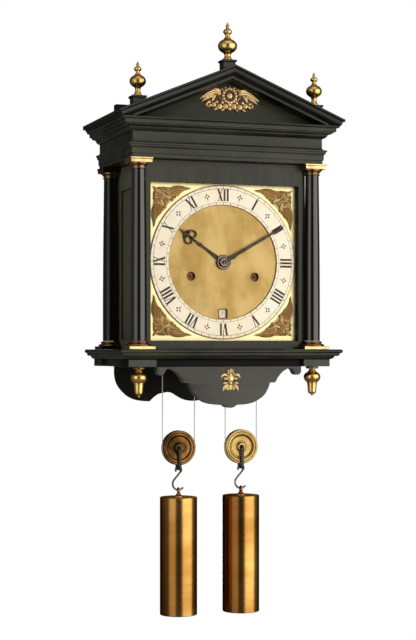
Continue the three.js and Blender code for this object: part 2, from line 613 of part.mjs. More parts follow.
// Holes that a plate needs: [x, z, radius]
const FRONT_HOLES = [
  [0, CENTRE_Z, 2.4], [WINDING.x, WINDING.z, BARREL.arbor + 0.6], [-WINDING.x, WINDING.z, BARREL.arbor + 0.6],
  [0, CONTRATE.z, PIVOT.hole], [HAMMER.x, HAMMER.z, PIVOT.hole],
];
const BACK_HOLES = [
  [0, CENTRE_Z, PIVOT.hole], [WINDING.x, WINDING.z, PIVOT.hole], [-WINDING.x, WINDING.z, PIVOT.hole],
  [0, CONTRATE.z, PIVOT.hole], [HAMMER.x, HAMMER.z, PIVOT.hole], [0, VERGE.z, 2.2],
];

const pierced = (front, holes) => cut(
  box(-PLATE.half, PLATE.half, front, front + PLATE.thickness, PLATE.bottom, PLATE.top),
  ...holes.map(([x, z, radius]) => barY(radius, x, z, front - 1, front + PLATE.thickness + 1, 10)),
);

const seatboard = () => {
  const s = SEATBOARD;
  const l = LINE_SLOT;
  const slots = [-WINDING.x, WINDING.x].flatMap((x) => [
    box(x - LINE.wrap - l.half, x - LINE.wrap + l.half, l.front, l.back, s.bottom - 1, s.top + 1),
    barZ(l.hole, x + LINE.wrap, LINE.y, s.bottom - 1, s.top + 1, 10),
  ]);
  return cut(box(-s.half, s.half, s.front, s.back, s.bottom, s.top), ...slots);
};

// Back plate with its four pillars, the two cocks of the crown wheel and the bell stand
function backPlate() {
  const p = PLATE;
  const front = p.backY - p.thickness;
  const pillars = [-1, 1].flatMap((side) => [PILLAR.low, PILLAR.high].map((z) =>
    turnedAlongY([[0, p.frontY + GAP], [3.2, p.frontY + GAP], [PILLAR.radius, -104], [PILLAR.radius + 1, -85],
      [PILLAR.radius, -66], [3.2, front + 1], [0, front + 1]], side * PILLAR.x, z, 8)));
  const k = COCK;
  const cock = (z0, z1) => box(-k.half, k.half, CROWN.y - k.half - 1, front + 1, z0, z1);
  const footCock = cock(CROWN.foot - GAP - k.thickness, CROWN.foot - GAP);
  const headCock = cut(cock(k.headBottom, k.headTop), barZ(1.6, 0, CROWN.y, k.headBottom - 1, k.headTop + 1, 10));
  const b = BELL_STAND;
  const top = BELL.top + GAP;
  const stand = join(
    box(b.x - b.half, b.x + b.half, p.backY - 1, p.backY + b.thickness, b.foot, top + b.thickness),
    box(b.x - b.half, b.half, p.backY - 3, p.backY + b.thickness, top, top + b.thickness),
    box(-b.half, b.half, BELL.y - 4, p.backY + b.thickness, top, top + b.thickness),
  );
  return join(pierced(front, BACK_HOLES), ...pillars, footCock, headCock, stand);
}

// Bell: a shallow dome, open below
function bell() {
  const b = BELL;
  const h = b.top - b.bottom;
  const outer = [[b.mouth, 0], [b.mouth - 2, 3], [b.mouth - 5, h * 0.45], [b.mouth - 11, h * 0.78], [20, h * 0.94],
    [8, h], [0, h]];
  const inner = outer.map(([r, z]) =>
    [Math.max(r - b.wall, 0), z === h ? h - b.wall : Math.max(z - b.wall / 2, 0)]);
  return turned([...outer, ...inner.reverse(), outer[0]], 16).translate([0, b.y, b.bottom]);
}

// Hammer: arbor between the plates, arm and head
function bellHammer() {
  const h = HAMMER;
  const arbor = barY(PIVOT.radius, h.x, h.z, PIVOT_FRONT, PIVOT_BACK, 8);
  const arm = wire([[h.x, h.z], [h.x + 2, h.z + 12], [h.headX - 4, h.headZ - 8], [h.headX, h.headZ]], 1.3, BELL.y);
  const head = turnedAlongY([[0, -h.head], [h.head, -h.head], [h.head, h.head], [0, h.head]], 0, 0, 10)
    .translate([h.headX, BELL.y, h.headZ]);
  return join(arbor, solid(arm), head);
}

// Pivot at each end of an arbor, and a thicker bar between the plates
const arborBetween = (radius, x, z) => join(
  barY(radius, x, z, PLATE.frontY + GAP, PLATE.backY - PLATE.thickness - GAP, 10),
  barY(PIVOT.radius, x, z, PIVOT_FRONT, PIVOT_BACK, 8),
);

// Direction from the going great wheel to the centre arbor
const MESH_ANGLE = Math.atan2(CENTRE_Z - WINDING.z, -WINDING.x) / DEG;

function greatWheel() {
  const g = GREAT;
  const wheel = gear(wheelOutline(g.teeth, g.tip, g.root, MESH_ANGLE), WINDING.x, WINDING.z, g.front, g.back);
  return cut(wheel, barY(BARREL.arbor + 0.5, WINDING.x, WINDING.z, g.front - 1, g.back + 1, 16));
}

// Drum with flanges, its back pivot and the squared winding end
function barrel(x) {
  const b = BARREL;
  const drum = turnedAlongY([[0, b.front], [b.flange, b.front], [b.flange, b.front + 1.6], [b.drum, b.front + 1.6],
    [b.drum, b.back - 1.6], [b.flange, b.back - 1.6], [b.flange, b.back], [0, b.back]], x, WINDING.z, 18);
  const arbor = barY(b.arbor, x, WINDING.z, PLATE.frontY - PLATE.thickness - 1.5, b.back + 4, 12);
  const pivot = barY(PIVOT.radius, x, WINDING.z, b.back, PIVOT_BACK, 8);
  const square = box(x - 2, x + 2, DIAL.front + 3.4, -118, WINDING.z - 2, WINDING.z + 2);
  return join(drum, arbor, pivot, square);
}

// The striking barrel carries its own great wheel.
function strikeBarrel() {
  const s = STRIKE_GREAT;
  const wheel = gear(wheelOutline(s.teeth, s.tip, s.root, 0), -WINDING.x, WINDING.z, GREAT.front, GREAT.back);
  return join(barrel(-WINDING.x), wheel);
}

// Centre arbor: from the back plate through the dial, with the great wheel's pinion and the centre wheel
function centreWheel() {
  const c = CENTRE;
  const arbor = join(
    barY(1.7, 0, CENTRE_Z, MINUTE.front - 0.5, PLATE.backY - PLATE.thickness - GAP, 10),
    barY(PIVOT.radius, 0, CENTRE_Z, -60, PIVOT_BACK, 8),
  );
  const leaves = pinionOutline(CENTRE_PINION, MESH_ANGLE + 180, 0.28);
  const pinion = gear(leaves, 0, CENTRE_Z, GREAT.front - 1, GREAT.back + 1);
  const wheel = gear(wheelOutline(c.teeth, c.tip, c.root, 90), 0, CENTRE_Z, c.front, c.back);
  const windows = [45, 135, 225, 315].map((angle) => {
    const pane = [...arc(0, 0, 21, angle - 34, angle + 34, 4), ...arc(0, 0, 7, angle + 14, angle - 14, 1)];
    return gear(outlineOf(pane), 0, CENTRE_Z, c.front - 1, c.back + 1);
  });
  return join(cut(wheel, ...windows), arbor, pinion);
}

// Contrate wheel: teeth along its axis, facing the crown wheel's arbor
function contrateWheel() {
  const c = CONTRATE;
  const cup = cupWheel(c).rotate([-90, 0, 0]).translate([0, 0, c.z]);
  const pinion = gear(pinionOutline(CONTRATE_PINION, -90, 0.2), 0, c.z, CENTRE.front - 1, CENTRE.back + 1);
  return join(cup, pinion, arborBetween(1.2, 0, c.z));
}

// Crown wheel on its upright arbor, its teeth under the verge
function crownWheel() {
  const c = CROWN;
  const arbor = barZ(1, 0, 0, c.foot, c.web + 1, 10);
  const p = CROWN_PINION;
  const section = pinionOutline(p, -90, 0.2);
  const leaves = solid(new THREE.ExtrudeGeometry(section, { depth: p.height, bevelEnabled: false })
    .translate(0, 0, p.bottom));
  return join(cupWheel(c), arbor, leaves).translate([0, c.y, 0]);
}

// Verge with its two pallets, and the pendulum rod fixed to its back end
function pendulum() {
  const v = VERGE;
  const verge = barY(v.radius, 0, v.z, v.front, v.back, 8);
  const pallet = (y, lean) =>
    box(-0.5, 0.5, y - 2, y + 2, -v.pallet, 0).rotate([0, lean, 0]).translate([0, 0, v.z]);
  const rod = barZ(PENDULUM.rod, 0, PENDULUM.y, v.z - PENDULUM.length - PENDULUM.bobHalf - 5, v.z, 8);
  return join(verge, pallet(CROWN.y - v.palletReach, v.lean), pallet(CROWN.y + v.palletReach, -v.lean), rod);
}

// Pear-shaped bob with a hole for the rod
function pendulumBob() {
  const p = PENDULUM;
  const bore = p.rod + 0.3;
  return turned([[bore, -p.bobHalf], [5, -p.bobHalf], [p.bob - 0.8, -8], [p.bob, -3], [p.bob - 1.6, 4], [5, 10],
    [3.4, p.bobHalf], [bore, p.bobHalf], [bore, -p.bobHalf]], 16)
    .translate([0, p.y, VERGE.z - p.length]);
}

// Drive, drawn for a weight hanging at x

// Gut line: down from the left of the barrel, under the pulley and up to its knot above the seatboard
function gutLine(x) {
  const tied = x + LINE.wrap;
  const path = [[x - LINE.wrap, WINDING.z], ...arc(x, PULLEY.z, LINE.wrap, 180, 360, 14), [tied, LINE.knotZ]];
  const knot = turned([[0, -LINE.knot], [LINE.knot, -LINE.knot + 1], [LINE.knot, 1], [0, LINE.knot]], 8)
    .translate([tied, LINE.y, LINE.knotZ]);
  return join(solid(wire(path, LINE.radius, LINE.y)), knot);
}

// Pulley: turned disc with a grooved rim and raised rings on both faces
function pulley(x) {
  const p = PULLEY;
  const face = [[p.bore, -p.half], [5.4, -p.half], [6.4, -3], [16, -2.4], [18, -4], [p.radius, -4],
    [p.radius, -2.4], [p.groove, -0.9]];
  const back = face.map(([r, y]) => [r, -y]).reverse();
  return turnedAlongY([...face, ...back, face[0]], 0, 0, 20).translate([x, LINE.y, p.z]);
}

// Stirrup: axle, a strap before and behind the pulley, and the bar that the hook hangs on
function stirrup(x) {
  const s = STIRRUP;
  const inside = PULLEY.half + s.gap;
  const outside = inside + s.strap;
  const strap = outlineOf([[-2.6, 2.4], [2.6, 2.4], [2.1, -14], [2.3, -26], [3, -31], [-3, -31],
    [-2.3, -26], [-2.1, -14]]);
  const axle = barY(s.axle, 0, 0, -outside - 1, outside + 1, 12);
  const bar = barY(s.bar, 0, s.barZ - PULLEY.z, -outside + 0.2, outside - 0.2, 12);
  return join(plate(strap, -outside, s.strap), plate(strap, inside, s.strap), axle, bar)
    .translate([x, LINE.y, PULLEY.z]);
}

// Hook: two opposite arcs joined by their common inner tangent
function sHook(x) {
  const h = HOOK;
  const lean = Math.asin((h.topR + h.lowR) / (h.topZ - h.lowZ)) / DEG;
  const path = [...arc(0, h.topZ, h.topR, 215, -lean, 8), ...arc(0, h.lowZ, h.lowR, 180 - lean, 322, 8)];
  return solid(wire(path, h.wire, LINE.y, 6)).translate([x, 0, 0]);
}

// Weight: brass cylinder with a collar, a stem and the ring that the hook passes through
function weight(x) {
  const w = WEIGHT;
  const body = turned([
    [0, w.bottom], [w.radius, w.bottom], [w.radius, w.top], [5, w.top], [5, w.top + 1.6], [2, w.top + 2.6],
    [2, w.eyeZ - w.eye + 0.4], [0, w.eyeZ - w.eye + 0.4],
  ], 24);
  const ring = solid(wire(arc(0, 0, w.eye, 0, 324, 9), w.eyeWire, 0, 6, true)).rotate([0, 0, 90])
    .translate([0, 0, w.eyeZ]);
  return join(body, ring).translate([x, LINE.y, 0]);
}

// Assembly

piece(caseGroup, 'backboard', backboard(), EBONY);
piece(caseGroup, 'base_shelf', shelf(), EBONY);
piece(caseGroup, 'apron', apron(), EBONY);
piece(caseGroup, 'seatboard', seatboard(), OAK);
piece(caseGroup, 'apron_ornament', apronOrnament(), GILT, [0, APRON.front - GAP, APRON.ornamentZ]);
piece(caseGroup, 'drop_finial_left', acornDrop(), GILT, [-COLUMN.x, COLUMN.frontY, DROP.z]);
piece(caseGroup, 'drop_finial_right', acornDrop(), GILT, [COLUMN.x, COLUMN.frontY, DROP.z]);

piece(hoodGroup, 'hood_body', hoodBody(), EBONY);
piece(hoodGroup, 'front_glass', frontGlass(), CLEAR);
piece(hoodGroup, 'side_glass_left', sideGlass(-1), CLEAR);
piece(hoodGroup, 'side_glass_right', sideGlass(1), CLEAR);
piece(hoodGroup, 'entablature', entablature(), EBONY);
piece(hoodGroup, 'pediment', pediment(), EBONY);
piece(hoodGroup, 'pediment_ornament', pedimentOrnament(), GILT, [0, FRIEZE.front - GAP, TYMPANUM.ornamentZ]);
for (const [end, y] of [['front', COLUMN.frontY], ['rear', COLUMN.rearY]]) {
  for (const [side, x] of [['left', -COLUMN.x], ['right', COLUMN.x]]) {
    piece(hoodGroup, `column_base_${end}_${side}`, columnBase(x, y), GILT);
    piece(hoodGroup, `column_shaft_${end}_${side}`, columnShaft(x, y), EBONY);
    piece(hoodGroup, `column_capital_${end}_${side}`, columnCapital(x, y), GILT);
  }
}
piece(hoodGroup, 'finial_left', finial(SIDE_FINIAL), GILT, [-SIDE_FINIAL.x, FINIAL_Y, SIDE_FINIAL.z + GAP]);
piece(hoodGroup, 'finial_right', finial(SIDE_FINIAL), GILT, [SIDE_FINIAL.x, FINIAL_Y, SIDE_FINIAL.z + GAP]);
piece(hoodGroup, 'finial_centre', finial(CENTRE_FINIAL), GILT, [0, FINIAL_Y, CENTRE_FINIAL.z + GAP]);

piece(dialGroup, 'dial_plate', dialPlate(), DIAL_BRASS);
piece(dialGroup, 'chapter_ring', flatRing(CHAPTER.inner, CHAPTER.outer, DIAL.front - GAP - CHAPTER.thickness,
  CHAPTER.thickness, 48), SILVERED);
for (const [place, sx, sz] of [['top_left', -1, 1], ['top_right', 1, 1], ['bottom_left', -1, -1],
  ['bottom_right', 1, -1]]) {
  piece(dialGroup, `spandrel_${place}`, spandrel(sx, sz), GILT);
}
piece(dialGroup, 'calendar_ring', flatRing(CALENDAR.inner, CALENDAR.outer,
  DIAL.front + DIAL.thickness + CALENDAR.gap, CALENDAR.thickness, 24), SILVERED);
piece(dialGroup, 'minute_hand', minuteHand(), BLUED);
piece(dialGroup, 'hour_hand', hourHand(), BLUED);

piece(movementGroup, 'front_plate', pierced(PLATE.frontY - PLATE.thickness, FRONT_HOLES), MOVEMENT_BRASS);
piece(movementGroup, 'back_plate', backPlate(), MOVEMENT_BRASS);
piece(movementGroup, 'bell', bell(), BELL_METAL);
piece(movementGroup, 'bell_hammer', bellHammer(), STEEL);
piece(movementGroup, 'centre_wheel', centreWheel(), MOVEMENT_BRASS);
piece(movementGroup, 'going_great_wheel', greatWheel(), MOVEMENT_BRASS);
piece(movementGroup, 'going_barrel', barrel(WINDING.x), MOVEMENT_BRASS);
piece(movementGroup, 'strike_barrel', strikeBarrel(), MOVEMENT_BRASS);
piece(movementGroup, 'contrate_wheel', contrateWheel(), MOVEMENT_BRASS);
piece(movementGroup, 'crown_wheel', crownWheel(), MOVEMENT_BRASS);
piece(movementGroup, 'pendulum_rod', pendulum(), STEEL);
piece(movementGroup, 'pendulum_bob', pendulumBob(), MOVEMENT_BRASS);

for (const [train, x] of [['strike', -WINDING.x], ['going', WINDING.x]]) {
  piece(driveGroup, `${train}_line`, gutLine(x), GUT);
  piece(driveGroup, `${train}_pulley`, pulley(x), WEIGHT_BRASS);
  piece(driveGroup, `${train}_stirrup`, stirrup(x), STEEL);
  piece(driveGroup, `${train}_hook`, sHook(x), STEEL);
  piece(driveGroup, `${train}_weight`, weight(x), WEIGHT_BRASS);
}

export default clock;
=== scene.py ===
import math

import bmesh
import bpy
import numpy as np
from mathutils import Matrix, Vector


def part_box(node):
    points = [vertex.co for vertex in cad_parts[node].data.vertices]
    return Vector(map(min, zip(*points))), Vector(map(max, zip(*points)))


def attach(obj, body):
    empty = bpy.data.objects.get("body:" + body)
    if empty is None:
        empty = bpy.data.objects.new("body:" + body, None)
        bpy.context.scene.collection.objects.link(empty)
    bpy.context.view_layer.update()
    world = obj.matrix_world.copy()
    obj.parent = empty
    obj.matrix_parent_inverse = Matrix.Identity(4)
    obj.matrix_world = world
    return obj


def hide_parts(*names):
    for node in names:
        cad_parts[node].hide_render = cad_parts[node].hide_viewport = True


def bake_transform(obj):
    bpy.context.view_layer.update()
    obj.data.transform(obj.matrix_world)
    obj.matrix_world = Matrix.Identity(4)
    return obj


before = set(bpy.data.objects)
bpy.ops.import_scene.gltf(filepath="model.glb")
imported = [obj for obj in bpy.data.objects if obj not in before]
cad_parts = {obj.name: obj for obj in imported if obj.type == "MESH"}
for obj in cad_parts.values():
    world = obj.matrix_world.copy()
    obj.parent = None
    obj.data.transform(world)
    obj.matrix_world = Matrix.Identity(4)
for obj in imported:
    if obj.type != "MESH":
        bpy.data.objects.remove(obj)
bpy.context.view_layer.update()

MM = 0.001


# Camera
# The photograph was taken from the left of the clock, level with the top of its shelf, with a long lens. Its
# place was solved from the corners of the case, and the frame is shifted up instead of tilted.
CAMERA_TURN = math.radians(-19.509)
camera_data = bpy.data.cameras.new("camera")
camera_data.lens = 90.25
camera_data.sensor_width = 36
camera_data.shift_x = -0.0013
camera_data.shift_y = 0.0459
camera = bpy.data.objects.new("camera", camera_data)
camera.location = (-0.7552, -2.2122, 0)
camera.rotation_euler = (math.radians(90), 0, CAMERA_TURN)
bpy.context.scene.collection.objects.link(camera)
bpy.context.scene.camera = camera
bpy.context.scene.view_settings.view_transform = "Standard"


# Room
# A pale floor lies well below the hanging clock, with white air behind it. Two tall soft lamps stand left and
# right of the photographer, who leaves a dark gap between them, and a third hangs overhead.
class Value:
    """One number or colour of a node tree. Sums and products of values add the Math nodes that work them
    out."""

    def __init__(self, shading, socket):
        self.shading, self.socket = shading, socket

    def maths(self, operation, *numbers):
        return self.shading.node("ShaderNodeMath", {"operation": operation}, dict(enumerate(numbers)))

    def __add__(self, other):
        return self.maths("ADD", self, other)

    def __sub__(self, other):
        return self.maths("SUBTRACT", self, other)

    def __rsub__(self, other):
        return self.maths("SUBTRACT", other, self)

    def __mul__(self, other):
        return self.maths("MULTIPLY", self, other)

    def __gt__(self, other):
        return self.maths("GREATER_THAN", self, other)

    def __lt__(self, other):
        return self.maths("LESS_THAN", self, other)

    __radd__ = __add__
    __rmul__ = __mul__

    def absolute(self):
        return self.maths("ABSOLUTE", self)

    def larger(self, other):
        return self.maths("MAXIMUM", self, other)

    def between(self, low, high):
        """Rises smoothly from 0 at low to 1 at high."""
        return self.shading.node("ShaderNodeMapRange", {"interpolation_type": "SMOOTHSTEP"},
                                 {"Value": self, "From Min": low, "From Max": high})


class Shading:
    """The node tree of one material or of the world, built up from nothing."""

    def __init__(self, owner):
        owner.use_nodes = True
        self.tree = owner.node_tree
        self.tree.nodes.clear()

    def node(self, kind, settings=None, inputs=None, output=0):
        """Adds a node: first its settings, such as a Math node's operation, then the values or links of its
        sockets."""
        made = self.tree.nodes.new(kind)
        for key, setting in (settings or {}).items():
            setattr(made, key, setting)
        for key, given in (inputs or {}).items():
            if isinstance(given, Value):
                self.tree.links.new(given.socket, made.inputs[key])
            else:
                made.inputs[key].default_value = given
        return Value(self, made.outputs[output]) if made.outputs else None

    def mix(self, factor, first, second):
        """A colour between two colours."""
        return self.node("ShaderNodeMix", {"data_type": "RGBA"}, {0: factor, 6: first, 7: second}, 2)

    def place(self, axis):
        """The piece's own X, Y or Z in metres."""
        where = self.node("ShaderNodeTexCoord", output="Object")
        return self.node("ShaderNodeSeparateXYZ", None, {"Vector": where}, axis)

    def ray_kinds(self):
        """1 or 0 for a ray from the camera, one from a glossy surface and one that has come through glass."""
        return [self.node("ShaderNodeLightPath", output=name)
                for name in ("Is Camera Ray", "Is Glossy Ray", "Is Transmission Ray")]


def shade(red, green, blue):
    """A colour as a screen shows it, 0 to 255, as the linear colour that a shader takes."""
    linear = [c / 12.92 if c <= 0.04045 else ((c + 0.055) / 1.055) ** 2.4
              for c in (red / 255, green / 255, blue / 255)]
    return (*linear, 1)


FLOOR_Z = -1.5
FLOOR_HALF = 6
LENS_AZIMUTH = math.radians(-19.5)  # the direction of the lens from the clock
FLOOR_FADE = (1.3, 2.6)  # the floor turns to plain white between these distances from the clock
AIR_LIGHT = 0.34  # what the air lights everything with
AIR_MIRRORED = 0.26  # what a glossy surface sees of it, but for the gap round the lens and behind the clock
AIM = (0, -0.1, 0.03)
LAMPS = {  # azimuth from the dial's direction in degrees, distance, width, height, centre height, radiance
    "lamp_left": (-58, 2.1, 1.6, 2.6, 0.15, 1.35),
    "lamp_right": (38, 1.9, 2.5, 2.6, 0.15, 2.3),
    "lamp_top": (0, 1.0, 2.0, 1.6, 2.1, 0.9),
}


def build_room():
    """Floor, air and lamps. The floor and the air are white where the camera or glass looks at them."""
    world = bpy.data.worlds.new("air")
    bpy.context.scene.world = world
    air = Shading(world)
    from_camera, from_gloss, through_glass = air.ray_kinds()
    towards = air.node("ShaderNodeTexCoord", output="Generated")
    lens_side = (math.sin(LENS_AZIMUTH), -math.cos(LENS_AZIMUTH), 0)
    to_lens = air.node("ShaderNodeVectorMath", {"operation": "DOT_PRODUCT"}, {0: towards, 1: lens_side},
                       "Value")
    behind = to_lens.between(0.25, -0.95)
    gap = to_lens.between(0.72, 0.93)
    gloss = AIR_MIRRORED * (1 - gap * 0.85) * (1 - behind * 0.85)
    plain = AIR_LIGHT + (gloss - AIR_LIGHT) * from_gloss
    strength = plain + (1 - plain) * from_camera.larger(through_glass)
    light = air.node("ShaderNodeBackground", None, {"Color": (1, 1, 1, 1), "Strength": strength})
    air.node("ShaderNodeOutputWorld", None, {"Surface": light})

    floor_mesh = bpy.data.meshes.new("floor")
    corners = [(x * FLOOR_HALF, y * FLOOR_HALF, FLOOR_Z) for x, y in ((-1, -1), (1, -1), (1, 1), (-1, 1))]
    floor_mesh.from_pydata(corners, [], [(0, 1, 2, 3)])
    floor = bpy.data.objects.new("floor", floor_mesh)
    bpy.context.scene.collection.objects.link(floor)
    paint = bpy.data.materials.new("floor_paint")
    floor_mesh.materials.append(paint)
    ground = Shading(paint)
    place = ground.node("ShaderNodeTexCoord", output="Object")
    far = ground.node("ShaderNodeVectorMath", {"operation": "DISTANCE"}, {0: place, 1: (0, 0, FLOOR_Z)},
                      "Value")
    from_camera, from_gloss, through_glass = ground.ray_kinds()
    seen_far = from_camera.larger(through_glass).larger(from_gloss * 0.15) * far.between(*FLOOR_FADE)
    matt = ground.node("ShaderNodeBsdfDiffuse", None, {"Color": (0.8, 0.8, 0.79, 1)})
    white = ground.node("ShaderNodeEmission", None, {"Color": (1, 1, 1, 1), "Strength": 1.0})
    shown = ground.node("ShaderNodeMixShader", None, {0: seen_far, 1: matt, 2: white})
    black = ground.node("ShaderNodeBsdfDiffuse", None, {"Color": (0, 0, 0, 1)})
    surface = ground.node("ShaderNodeMixShader", None, {0: from_gloss * 0.7, 1: shown, 2: black})
    ground.node("ShaderNodeOutputMaterial", None, {"Surface": surface})

    for name, (azimuth, distance, width, height, z, radiance) in LAMPS.items():
        lamp = bpy.data.lights.new(name, "AREA")
        lamp.shape = "RECTANGLE"
        lamp.size = width
        lamp.size_y = height
        lamp.energy = radiance * math.pi * width * height
        lamp.color = (1, 0.955, 0.86)
        stand = bpy.data.objects.new(name, lamp)
        angle = math.radians(azimuth)
        stand.location = (AIM[0] + distance * math.sin(angle), AIM[1] - distance * math.cos(angle), z)
        away = stand.location.copy()
        away.x -= AIM[0]
        away.y -= AIM[1]
        away.z -= AIM[2]
        stand.rotation_euler = away.to_track_quat("Z", "Y").to_euler()
        stand.visible_camera = False
        bpy.context.scene.collection.objects.link(stand)


build_room()


# Backboard
# An ebonised board that hangs flat on the wall and carries the whole clock. Its lower end is sawn to two
# lobes each side of a shallow arch, and two grooved guides are glued to its front for the hood to slide on.
def smooth(points, steps=6):
    """A curve through the points: each span is the cubic whose slope at a point is half the chord past it."""
    p = np.asarray(points, float)
    p = np.vstack([2 * p[0] - p[1], p, 2 * p[-1] - p[-2]])
    a, b, c, d = p[:-3, None], p[1:-2, None], p[2:-1, None], p[3:, None]
    t = np.linspace(0, 1, steps, endpoint=False)[None, :, None]
    spans = b + 0.5 * t * (c - a + t * (2 * a - 5 * b + 4 * c - d + t * (3 * (b - c) + d - a)))
    return np.vstack([spans.reshape(-1, p.shape[1]), p[-2:-1]])


def outline(*runs, steps=5):
    """Runs of points joined end to end with a corner between them. A run of three or more points is a
    curve."""
    path = np.vstack([smooth(run, steps) if len(run) > 2 else np.asarray(run, float) for run in runs])
    return path[np.append(True, np.linalg.norm(np.diff(path, axis=0), axis=1) > 1e-4)]


def mirrored(half):
    """A right half, from its top down to the middle, made whole by its mirror image. It runs
    anticlockwise."""
    half = np.asarray(half, float)
    other = half[::-1] * [-1, 1]
    return np.vstack([half, other[abs(other[:, 0]) > 1e-6]])[::-1]


def arc(centre, radius, start, end, steps):
    """Points on a circle, from a start angle to an end angle in degrees."""
    angle = np.radians(np.linspace(start, end, steps + 1))
    return np.stack([centre[0] + radius * np.cos(angle), centre[1] + radius * np.sin(angle)], -1)


def grid(points, rows_round=False, ends=False):
    """Quads between the rows and columns of a grid of points. Each row is a ring. The last row is joined to
    the first where the rows run round too, and ends closes the first and last row with one face each."""
    rows, columns = points.shape[:2]
    i = np.arange(rows if rows_round else rows - 1)[:, None]
    j = np.arange(columns)[None, :]
    here, below = i * columns, (i + 1) % rows * columns
    left, right = j, (j + 1) % columns
    quads = np.stack(np.broadcast_arrays(here + left, here + right, below + right, below + left), -1)
    faces = quads.reshape(-1, 4).tolist()
    if ends:
        faces.append(list(range(columns)))
        faces.append(list(range((rows - 1) * columns, rows * columns)))
    return points.reshape(-1, 3), faces


def mitre(path, closed):
    """The outward direction at each point of a path in a plane, so long that both neighbouring sides move out
    by one unit: the sum of the two sides' right-hand normals over one plus their dot product."""
    steps = np.diff(np.vstack([path, path[:1]]) if closed else path, axis=0)
    steps /= np.maximum(np.linalg.norm(steps, axis=1, keepdims=True), 1e-12)
    normal = np.stack([steps[:, 1], -steps[:, 0]], -1)
    if closed:
        before, after = np.roll(normal, 1, 0), normal
    else:
        before, after = np.vstack([normal[:1], normal]), np.vstack([normal, normal[-1:]])
    return (before + after) / np.maximum(1 + (before * after).sum(1, keepdims=True), 0.2)


def carried(path, section, plane, closed=True, ends=True):
    """Carries a section of (out, level) points round a flat path: a point lies out along the path's mitre and
    at its level on the third axis. The plane names the two axes of the path."""
    path, section = np.asarray(path, float), np.asarray(section, float)
    across = mitre(path, closed)
    flat = path[None] + across[None] * section[:, None, :1]
    level = np.broadcast_to(section[:, None, 1:], (*flat.shape[:2], 1))
    order = {"xy": [0, 1, 2], "xz": [0, 2, 1], "yz": [2, 0, 1]}[plane]
    points = np.concatenate([flat, level], -1)[..., order]
    return grid(points if closed else points.transpose(1, 0, 2), ends=ends)


def rounded(front, back, radius, steps=3):
    """The section of a board's edge between two levels, its two corners rounded: (out, level) points."""
    turn = np.radians(np.linspace(0, 90, steps + 1))
    out = radius * (np.sin(turn) - 1)
    rise = radius * (1 - np.cos(turn))
    near = np.stack([out, front + rise], -1)
    far = np.stack([out, back - rise], -1)[::-1]
    return np.vstack([near, far])


def board(path, low, high, radius, plane="xz"):
    """A board sawn to a closed path, between two levels, with softly rounded edges."""
    return carried(path, rounded(low, high, radius), plane)


def beam(x0, x1, y0, y1, z0, z1, radius=0.5):
    """A planed length of wood between two values on each axis, its edges eased."""
    return board([(x0, y0), (x1, y0), (x1, y1), (x0, y1)], z0, z1, radius, "xy")


def measure_edges(mesh):
    """Writes the attribute "ridge": the mean slope from a vertex to its neighbours against its normal, so
    that it is positive on a worn ridge and negative in a hollow."""
    count = len(mesh.vertices)
    place = np.empty(count * 3)
    mesh.vertices.foreach_get("co", place)
    place = place.reshape(-1, 3)
    facing = np.empty(count * 3)
    mesh.vertices.foreach_get("normal", facing)
    facing = facing.reshape(-1, 3)
    ends = np.empty(len(mesh.edges) * 2, int)
    mesh.edges.foreach_get("vertices", ends)
    a, b = ends.reshape(-1, 2).T
    step = place[b] - place[a]
    step /= np.maximum(np.linalg.norm(step, axis=1, keepdims=True), 1e-12)
    total = np.zeros(count)
    np.add.at(total, a, -(step * facing[a]).sum(1))
    np.add.at(total, b, (step * facing[b]).sum(1))
    ridge = total / np.maximum(np.bincount(np.concatenate([a, b]), minlength=count), 1)
    mesh.attributes.new("ridge", "FLOAT", "POINT").data.foreach_set("value", ridge.astype(np.float32))


def piece(name, body, material, *parts, stands_for=(), slot=None, crease=32):
    """One object from parts given in millimetres. Seams and poles are merged, faces are turned outwards,
    edges sharper than the crease stay sharp, and it rides on a body in place of the nodes that it stands
    for."""
    points, faces, start = [], [], 0
    for part_points, part_faces in parts:
        points.append(part_points)
        faces += [[start + k for k in face] for face in part_faces]
        start += len(part_points)
    mesh = bpy.data.meshes.new(name)
    mesh.from_pydata((np.vstack(points) * MM).tolist(), [], faces)
    work = bmesh.new()
    work.from_mesh(mesh)
    bmesh.ops.remove_doubles(work, verts=work.verts, dist=2e-6)
    bmesh.ops.recalc_face_normals(work, faces=work.faces)
    work.to_mesh(mesh)
    work.free()
    mesh.polygons.foreach_set("use_smooth", np.ones(len(mesh.polygons), bool))
    mesh.set_sharp_from_angle(angle=math.radians(crease))
    measure_edges(mesh)
    mesh.materials.append(material)
    made = bpy.data.objects.new(name, mesh)
    bpy.context.scene.collection.objects.link(made)
    if body:
        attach(made, body)
    if stands_for:
        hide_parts(*stands_for)
    return made


def principled(name, colour, roughness, metallic=0.0, bump=None, depth=0.0003, **fixed):
    """A material whose colour, roughness and bump height may each be one value or worked out over the
    surface."""
    material = bpy.data.materials.new(name)
    shading = Shading(material)
    sockets = {"Base Color": colour(shading) if callable(colour) else colour,
               "Roughness": roughness(shading) if callable(roughness) else roughness,
               "Metallic": metallic}
    if bump:
        sockets["Normal"] = shading.node("ShaderNodeBump", None, {"Height": bump(shading), "Distance": depth})
    sockets.update({key.replace("_", " "): given for key, given in fixed.items()})
    shader = shading.node("ShaderNodeBsdfPrincipled", None, sockets)
    shading.node("ShaderNodeOutputMaterial", None, {"Surface": shader})
    return material


def noise(shading, scale, stretch=(1, 1, 1), detail=3.0):
    """Cloudy noise in the piece's own space, its cells drawn out by the stretch."""
    place = shading.node("ShaderNodeTexCoord", output="Object")
    fitted = shading.node("ShaderNodeMapping", None, {"Vector": place, "Scale": [scale / s for s in stretch]})
    return shading.node("ShaderNodeTexNoise", None,
                        {"Vector": fitted, "Scale": 1.0, "Detail": detail, "Roughness": 0.55})


def ridges(shading):
    """The attribute "ridge" that every piece carries."""
    return shading.node("ShaderNodeAttribute", {"attribute_name": "ridge"}, None, "Fac")


